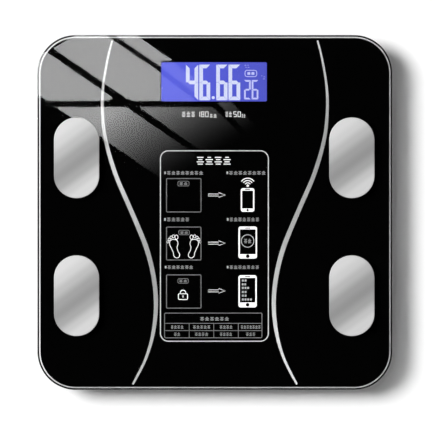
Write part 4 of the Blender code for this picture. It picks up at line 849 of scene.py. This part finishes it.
def makeWrap():
    # printed cell sleeve: dark body with warm bands near both ends, set off along X
    material = grained("cellSleeve", sleeve["body"], fine=1200.0, tone=0.15, gloss=0.28, depth=0.000004, Metallic=0.4)
    tree = material.node_tree
    along = calculate(tree, "ABSOLUTE", splitAxes(tree, objectPlace(tree))["X"])
    tip = calculate(tree, "GREATER_THAN", along, sleeve["tipFrom"])
    mixed = addNode(tree, "ShaderNodeMix", {"Factor": tip}, data_type="RGBA")
    mixed.inputs[6].default_value = (*sleeve["body"], 1)
    mixed.inputs[7].default_value = (*sleeve["tip"], 1)
    tree.links.new(mixed.outputs[2], grainOf(material).inputs["Colour"])
    return material


trayFinish = grained("trayPlastic", (0.022, 0.022, 0.024), fine=2200.0, broad=25.0, tone=0.18, gloss=0.5, change=0.1,
                     depth=0.00004)
plainFinishes = {
    "black_plastic": trayFinish,
    "white_plastic": grained("whitePlastic", (0.78, 0.78, 0.76), tone=0.05, gloss=0.4),
    "grey_rubber": grained("greyRubber", (0.15, 0.15, 0.158), fine=1400.0, tone=0.2, gloss=0.82, depth=0.00005),
    "plated_brass": brushed("platedBrass", (0.72, 0.62, 0.38), scale=200.0, gloss=0.28),
    "spring_steel": brushed("springSteel", (0.60, 0.60, 0.61), scale=180.0, gloss=0.3),
    "lead_white": grained("leadWhite", (0.75, 0.75, 0.74), tone=0.04, gloss=0.45, depth=0.000005),
    "lead_black": grained("leadBlack", (0.018, 0.018, 0.018), tone=0.1, gloss=0.45, depth=0.000005),
    "lead_red": grained("leadRed", (0.42, 0.014, 0.014), tone=0.1, gloss=0.45, depth=0.000005),
    "foam_tape": grained("foamTape", (0.04, 0.04, 0.042), fine=1100.0, tone=0.3, gloss=0.95, depth=0.00012),
    "label_paper": grained("labelPaper", (0.66, 0.66, 0.66), fine=2400.0, tone=0.04, gloss=0.5, depth=0.000008),
    "backlight_white": grained("backlightWhite", (0.82, 0.84, 0.90), tone=0.03, gloss=0.35),
    "connector_rubber": grained("connectorRubber", (0.70, 0.30, 0.40), fine=900.0, tone=0.25, gloss=0.7),
    "board_green": makeBoard(),
    "chip_black": grained("chipBlack", (0.012, 0.012, 0.012), fine=1800.0, tone=0.2, gloss=0.55),
    "battery_wrap": makeWrap(),
}
slotsOf = {
    "base_tray": "black_plastic", "battery_door": "black_plastic", "display_holder": "black_plastic",
    "foot": "black_plastic", "load_cell_carrier": "white_plastic", "load_cell_lead": "lead_white",
    "load_cell": "spring_steel", "electrode_stud": "plated_brass", "electrode_lead": "lead_black",
    "bonding_tape": "foam_tape", "backlight_guide": "backlight_white", "connector_strip": "connector_rubber",
    "circuit_board": "board_green", "board_screw": "spring_steel", "controller_chip": "chip_black",
    "radio_module": "spring_steel", "switch_body": "chip_black", "switch_plunger": "chip_black",
    "unit_button": "white_plastic", "battery_spring": "spring_steel", "battery_contact": "spring_steel",
    "battery_lead_positive": "lead_red", "battery_lead_negative": "lead_black", "battery": "battery_wrap",
    "rating_label": "label_paper",
}
roundingOf = {  # pieces that also get fine rounded edges, and the rounding in mm
    "base_tray": 0.35, "battery_door": 0.25, "display_holder": 0.25, "load_cell_carrier": 0.2, "unit_button": 0.3,
    "controller_chip": 0.12, "radio_module": 0.2, "switch_body": 0.12, "circuit_board": 0.1, "load_cell": 0.12,
    "foot": 0.25,
}
bodyOf = {node: body for body, nodes in frame["record"]["behaviour"]["bodies"].items() for node in nodes}


def kind(node):
    # the longest name in the table that this node's name starts with
    return max((name for name in slotsOf if node.startswith(name)), key=len)


def mergedCopy(node):
    # the CAD piece's own shape with its loose triangles joined and flat areas made whole
    bm = bmesh.new()
    bm.from_mesh(frame["nodes"][node].data)
    bmesh.ops.remove_doubles(bm, verts=bm.verts, dist=0.000001)
    bmesh.ops.dissolve_limit(bm, angle_limit=math.radians(0.5), verts=bm.verts, edges=bm.edges)
    mesh = bpy.data.meshes.new(node + "_fine")
    bm.to_mesh(mesh)
    bm.free()
    return mesh


def roundEdges(piece, size):
    bevel = piece.modifiers.new("rounded", "BEVEL")
    bevel.width = size * mm
    bevel.segments = 2
    bevel.limit_method = "ANGLE"
    bevel.angle_limit = math.radians(40)
    piece.modifiers.new("even", "WEIGHTED_NORMAL").weight = 100
    return piece


# battery door: grip ribs cut in beside the latch
gripRibs = {"count": 6, "pitch": 2.2 * mm, "width": 0.9 * mm, "depth": 0.45 * mm, "half": 9 * mm, "start": 10.5 * mm}
doorLow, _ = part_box("battery_door")
ribShapes = [blockAt(0, gripRibs["start"] - k * gripRibs["pitch"], gripRibs["half"], gripRibs["width"] / 2,
                     doorLow.z - mm, doorLow.z + gripRibs["depth"]) for k in range(gripRibs["count"])]
doorMesh = combine(mergedCopy("battery_door"), ribShapes, "DIFFERENCE")
doorPiece = addPiece("batteryDoorShell", doorMesh, trayFinish, "battery_door", ["battery_door"])
roundEdges(doorPiece, 0.2)

# foot pads: moulded rings and a dished middle
padRings = {"groove": 0.4 * mm, "land": 1.5 * mm, "gap": 0.8 * mm, "first": 3.2 * mm, "ease": 0.15 * mm,
            "chamfer": 0.05 * mm, "slope": 0.12 * mm, "lip": 0.5 * mm, "margin": 0.6 * mm, "top": 0.2 * mm, "steps": 72}


def padProfile(low, high, radius):
    # dished middle, flat-topped lands with grooves between, and a rounded lip
    hub, land, lip, top = 0.05 * mm, padRings["land"], padRings["lip"], padRings["top"]
    floor, shoulder = low.z + padRings["groove"], low.z + padRings["chamfer"]
    profile = [(hub, floor), (padRings["first"] - top, floor)]
    r = padRings["first"]
    while r + land < radius - padRings["margin"]:
        profile += [(r, shoulder), (r + padRings["ease"], low.z), (r + land - padRings["ease"], low.z),
                    (r + land, shoulder)]
        r += land + padRings["gap"]
        profile += [(r - padRings["gap"] + padRings["slope"], floor), (r - padRings["slope"], floor)]
    for t in np.linspace(0, math.pi / 2, 6):
        profile.append((radius - lip + lip * math.sin(t), low.z + lip - lip * math.cos(t)))
    return profile + [(radius, high.z - top), (radius - top, high.z), (hub, high.z)]


for corner in corners:
    low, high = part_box("foot_pad_" + corner)
    profile = padProfile(low, high, (high.x - low.x) / 2)
    addPiece("padShell_" + corner, [lathe(profile, padRings["steps"], middleOf(low, high))],
             plainFinishes["grey_rubber"], "foot_" + corner, ["foot_pad_" + corner], 30)

# every other CAD piece: fine edges where the rounding table says so, and its finish
doneAlready = ("glass_platform", "display_panel", "battery_door", "electrode_plate", "foot_pad")
for node, source in frame["nodes"].items():
    if node.startswith(doneAlready):
        continue
    name = kind(node)
    slotName = slotsOf[name]
    if name in roundingOf:
        piece = addPiece(node + "_shell", mergedCopy(node), plainFinishes[slotName], bodyOf[node], [node],
                         25 if name == "foot" else 32)
        roundEdges(piece, roundingOf[name])
    else:
        source.data.materials.clear()
        source.data.materials.append(plainFinishes[slotName])

# rating label: a plain frame and blank lines
labelForm = {"margin": 2 * mm, "line": 1.4 * mm, "first": 7.5 * mm, "pitch": 4.8 * mm, "indent": 5 * mm,
             "longest": 50 * mm, "shares": (0.9, 0.6, 0.78, 0.45, 0.7)}
labelLow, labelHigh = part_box("rating_label")
lineHigh, lineLow = labelLow.z + 0.02 * mm, labelLow.z - 0.02 * mm
labelFrame = roundedRect(labelHigh.x - labelLow.x - 2 * labelForm["margin"],
                         labelHigh.y - labelLow.y - 2 * labelForm["margin"], 1.2 * mm, 4, middleOf(labelLow, labelHigh))
labelShapes = [band(labelFrame, 0.35 * mm, lineLow, lineHigh, True)]
for k, share in enumerate(labelForm["shares"]):
    length = labelForm["longest"] * share
    centre = (labelLow.x + labelForm["indent"] + length / 2, labelHigh.y - labelForm["first"] - k * labelForm["pitch"])
    labelShapes.append(slab(roundedRect(length, labelForm["line"], 0.3 * mm, 2, centre), lineLow, lineHigh))
addPiece("labelLines", labelShapes, darkInk, "scale")

# load cells: a strain gauge grid bonded on each
gauge = {"width": 7 * mm, "depth": 5 * mm, "wire": 0.25 * mm, "wireLength": 3.4 * mm, "pitch": 0.6 * mm}
for corner in corners:
    low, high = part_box("load_cell_" + corner)
    body = bodyOf["load_cell_" + corner]
    x, y = middleOf(low, high)
    filmOutline = roundedRect(gauge["width"], gauge["depth"], 0.4 * mm, 3, (x, y))
    film = [slab(filmOutline, high.z - 0.02 * mm, high.z + 0.08 * mm)]
    addPiece("gaugeFilm_" + corner, film, plainFinishes["connector_rubber"], body)
    wires = [roundedRect(gauge["wire"], gauge["wireLength"], 0.1 * mm, 2, (x + k * gauge["pitch"], y))
             for k in range(-4, 5)]
    grid = [slab(wire, high.z + 0.07 * mm, high.z + 0.11 * mm) for wire in wires]
    addPiece("gaugeGrid_" + corner, grid, plainFinishes["plated_brass"], body)

# circuit board: pads and small parts beside the chips, on its upper face
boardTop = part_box("circuit_board")[1].z
chipLow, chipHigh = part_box("controller_chip")
padLow = boardTop - 0.02 * mm
parts = []
pads = []
for k in range(9):
    x = chipLow.x - 5 * mm - (k % 3) * 3.2 * mm
    y = chipLow.y + 1.5 * mm + (k // 3) * 3.6 * mm
    parts.append(blockAt(x, y, 0.8 * mm, 0.45 * mm, boardTop + 0.02 * mm, boardTop + 0.6 * mm))
    for side in (-1, 1):
        pads.append(blockAt(x + side * 1.05 * mm, y, 0.3 * mm, 0.5 * mm, padLow, boardTop + 0.25 * mm))
for k in range(7):
    y = chipLow.y + 1.2 * mm + k * 1.6 * mm
    for side, edge in ((-1, chipLow.x), (1, chipHigh.x)):
        pads.append(blockAt(edge + side * 0.75 * mm, y, 0.6 * mm, 0.25 * mm, padLow, boardTop + 0.3 * mm))
addPiece("boardParts", parts, plainFinishes["chip_black"], "scale")
addPiece("boardPads", pads, plainFinishes["spring_steel"], "scale")
print("carried pieces ready")


# studio

studio = {"viewWidth": 318.6 * mm, "lens": 400.0, "sensor": 36.0, "centre": (1.94 * mm, 1.43 * mm)}
cameraRise = studio["viewWidth"] * studio["lens"] / studio["sensor"]
camera = bpy.data.objects.new("camera", bpy.data.cameras.new("camera"))
camera.data.lens = studio["lens"]
camera.data.sensor_width = studio["sensor"]
camera.data.clip_end = 50
camera.location = (*studio["centre"], glassHigh.z + cameraRise)
bpy.context.scene.collection.objects.link(camera)
bpy.context.scene.camera = camera


floorForm = {"size": 8, "corner": 0.5, "low": -0.02, "high": -0.0002}
keyLight = {"slope": (-0.93, 0.36), "distance": 12.0, "halfAngle": 14.0, "radiance": 23.0}
sky = {"darkWithin": 15, "paleBeyond": 28, "fill": 0.27, "backdrop": 0.92}  # angles from straight up, in degrees


def addFloor():
    outline = roundedRect(floorForm["size"], floorForm["size"], floorForm["corner"], 4)
    floorShape = slab(outline, floorForm["low"], floorForm["high"])
    floorFinish = grained("paleFloor", (0.93, 0.93, 0.93), fine=400.0, broad=3.0, tone=0.02, gloss=0.9, change=0.05,
                          depth=0.00002, Specular_IOR_Level=0.1)
    floor = bpy.data.objects.new("paleFloor", makeMesh("paleFloor", [floorShape]))
    floor.data.materials.append(floorFinish)
    bpy.context.scene.collection.objects.link(floor)


def addKeyLight():
    direction = Vector((*keyLight["slope"], 1)).normalized()
    radius = keyLight["distance"] * math.tan(math.radians(keyLight["halfAngle"]))
    data = bpy.data.lights.new("softKey", "AREA")
    data.shape = "DISK"
    data.size = 2 * radius
    data.energy = keyLight["radiance"] * math.pi * math.pi * radius**2
    lamp = bpy.data.objects.new("softKey", data)
    lamp.location = direction * keyLight["distance"]
    lamp.rotation_euler = direction.to_track_quat("Z", "Y").to_euler()
    bpy.context.scene.collection.objects.link(lamp)


def addSky():
    # pale all round, dark overhead so that the glass stays black from above
    world = bpy.data.worlds.new("sky")
    bpy.context.scene.world = world
    world.use_nodes = True
    tree = world.node_tree
    tree.nodes.clear()
    way = addNode(tree, "ShaderNodeTexCoord").outputs["Generated"]
    apart = addNode(tree, "ShaderNodeSeparateXYZ", {"Vector": way})
    rise = addNode(tree, "ShaderNodeMapRange", {"Value": apart.outputs["Z"]}, interpolation_type="SMOOTHSTEP",
                   From_Min=math.cos(math.radians(sky["darkWithin"])),
                   From_Max=math.cos(math.radians(sky["paleBeyond"])), To_Min=0.0, To_Max=sky["fill"])
    fill = addNode(tree, "ShaderNodeBackground", {"Strength": rise.outputs[0]}, Color=(1, 1, 1, 1))
    backdrop = addNode(tree, "ShaderNodeBackground", Color=(1, 1, 1, 1), Strength=sky["backdrop"])
    seen = addNode(tree, "ShaderNodeLightPath").outputs["Is Camera Ray"]
    mixed = addNode(tree, "ShaderNodeMixShader", {0: seen, 1: fill.outputs[0], 2: backdrop.outputs[0]})
    addNode(tree, "ShaderNodeOutputWorld", {"Surface": mixed.outputs[0]})


# window panes overhead, seen only as reflections; each outline is where its reflection lies on the glass
panes = {
    "upperLeft": ("plain", 8.6, [(-131, 119), (-122.5, 117.2), (-74.8, 84.0), (-78.2, 81.8), (-122.9, 81.8),
                                 (-131, 87)]),
    "upperMiddle": ("plain", 8.6, [(-118.5, 120.4), (-100, 131), (-81, 131), (-39.7, 102.3), (-39.7, 81.8),
                                   (-59.7, 81.8), (-64.9, 83.9)]),
    "upperRight": ("plain", 8.6, [(-75, 131), (-59, 131), (-31, 111.3), (-39.4, 111.3), (-39.4, 106.6)]),
    "lowerLeft": ("fading", 8.4, [(-116.3, 77.2), (-64.9, 77.2), (-9, 39), (-9, 4.5)]),
    "lowerRight": ("fading", 8.4, [(-55.5, 77.2), (-1.5, 77.2), (22, 55), (30, 17)]),
    "farRight": ("fading", 10.0, [(2.0, 80.6), (12.0, 80.6), (42, 52), (30, 52)]),
    "overDisplayLeft": ("plain", 1.3, [(-39.6, 110.2), (-31, 110.2), (-14, 98.0), (-14, 87.2), (-39.6, 106.5)]),
    "overDisplayLow": ("plain", 1.3, [(-39.6, 101.4), (-14, 82.2), (-14, 81.6), (-39.6, 81.6)]),
}
paneFade = {"x": 0.0077, "y": 0.012, "fromX": 35, "fromY": 60, "power": 2.6, "reach": 2 * mm}


def paneFinish(kind, strength):
    material = bpy.data.materials.new("pane_" + kind + "_" + str(strength))
    material.use_nodes = True
    tree = material.node_tree
    tree.nodes.clear()
    glow = addNode(tree, "ShaderNodeEmission", Strength=strength)
    addNode(tree, "ShaderNodeOutputMaterial", {"Surface": glow.outputs[0]})
    if kind == "fading":
        # share of the strength = (x share (fromX - x) + y share (y - fromY)) to a power, in mm on the glass
        axes = splitAxes(tree, objectPlace(tree))
        alongX = calculate(tree, "MULTIPLY", axes["X"], -paneFade["x"] / paneFade["reach"])
        alongY = calculate(tree, "MULTIPLY", axes["Y"], paneFade["y"] / paneFade["reach"])
        offset = paneFade["x"] * paneFade["fromX"] - paneFade["y"] * paneFade["fromY"]
        level = calculate(tree, "ADD", calculate(tree, "ADD", alongX, alongY), offset, clamp=True)
        share = calculate(tree, "POWER", level, paneFade["power"])
        tree.links.new(calculate(tree, "MULTIPLY", share, strength), glow.inputs["Strength"])
    return material


def addPanes():
    # a point seen at p on the glass lies at c + 2 (p - c) on a plane at the camera's height
    glassOnly = bpy.data.collections.new("glassOnly")
    glassOnly.objects.link(glassSlab)
    centre = np.array(studio["centre"])
    for name, (kind, strength, outline) in panes.items():
        points = centre + 2 * (np.array(outline) * mm - centre)
        mesh = bpy.data.meshes.new(name)
        mesh.from_pydata(ring(points, camera.location.z).tolist(), [], [list(range(len(points)))])
        mesh.materials.append(paneFinish(kind, strength))
        pane = bpy.data.objects.new("pane_" + name, mesh)
        bpy.context.scene.collection.objects.link(pane)
        pane.visible_camera = False
        pane.visible_diffuse = False
        pane.visible_transmission = False
        pane.visible_shadow = False
        pane.light_linking.receiver_collection = glassOnly


addFloor()
addKeyLight()
addSky()
addPanes()
bpy.context.scene.view_settings.view_transform = "Standard"
print("studio ready")
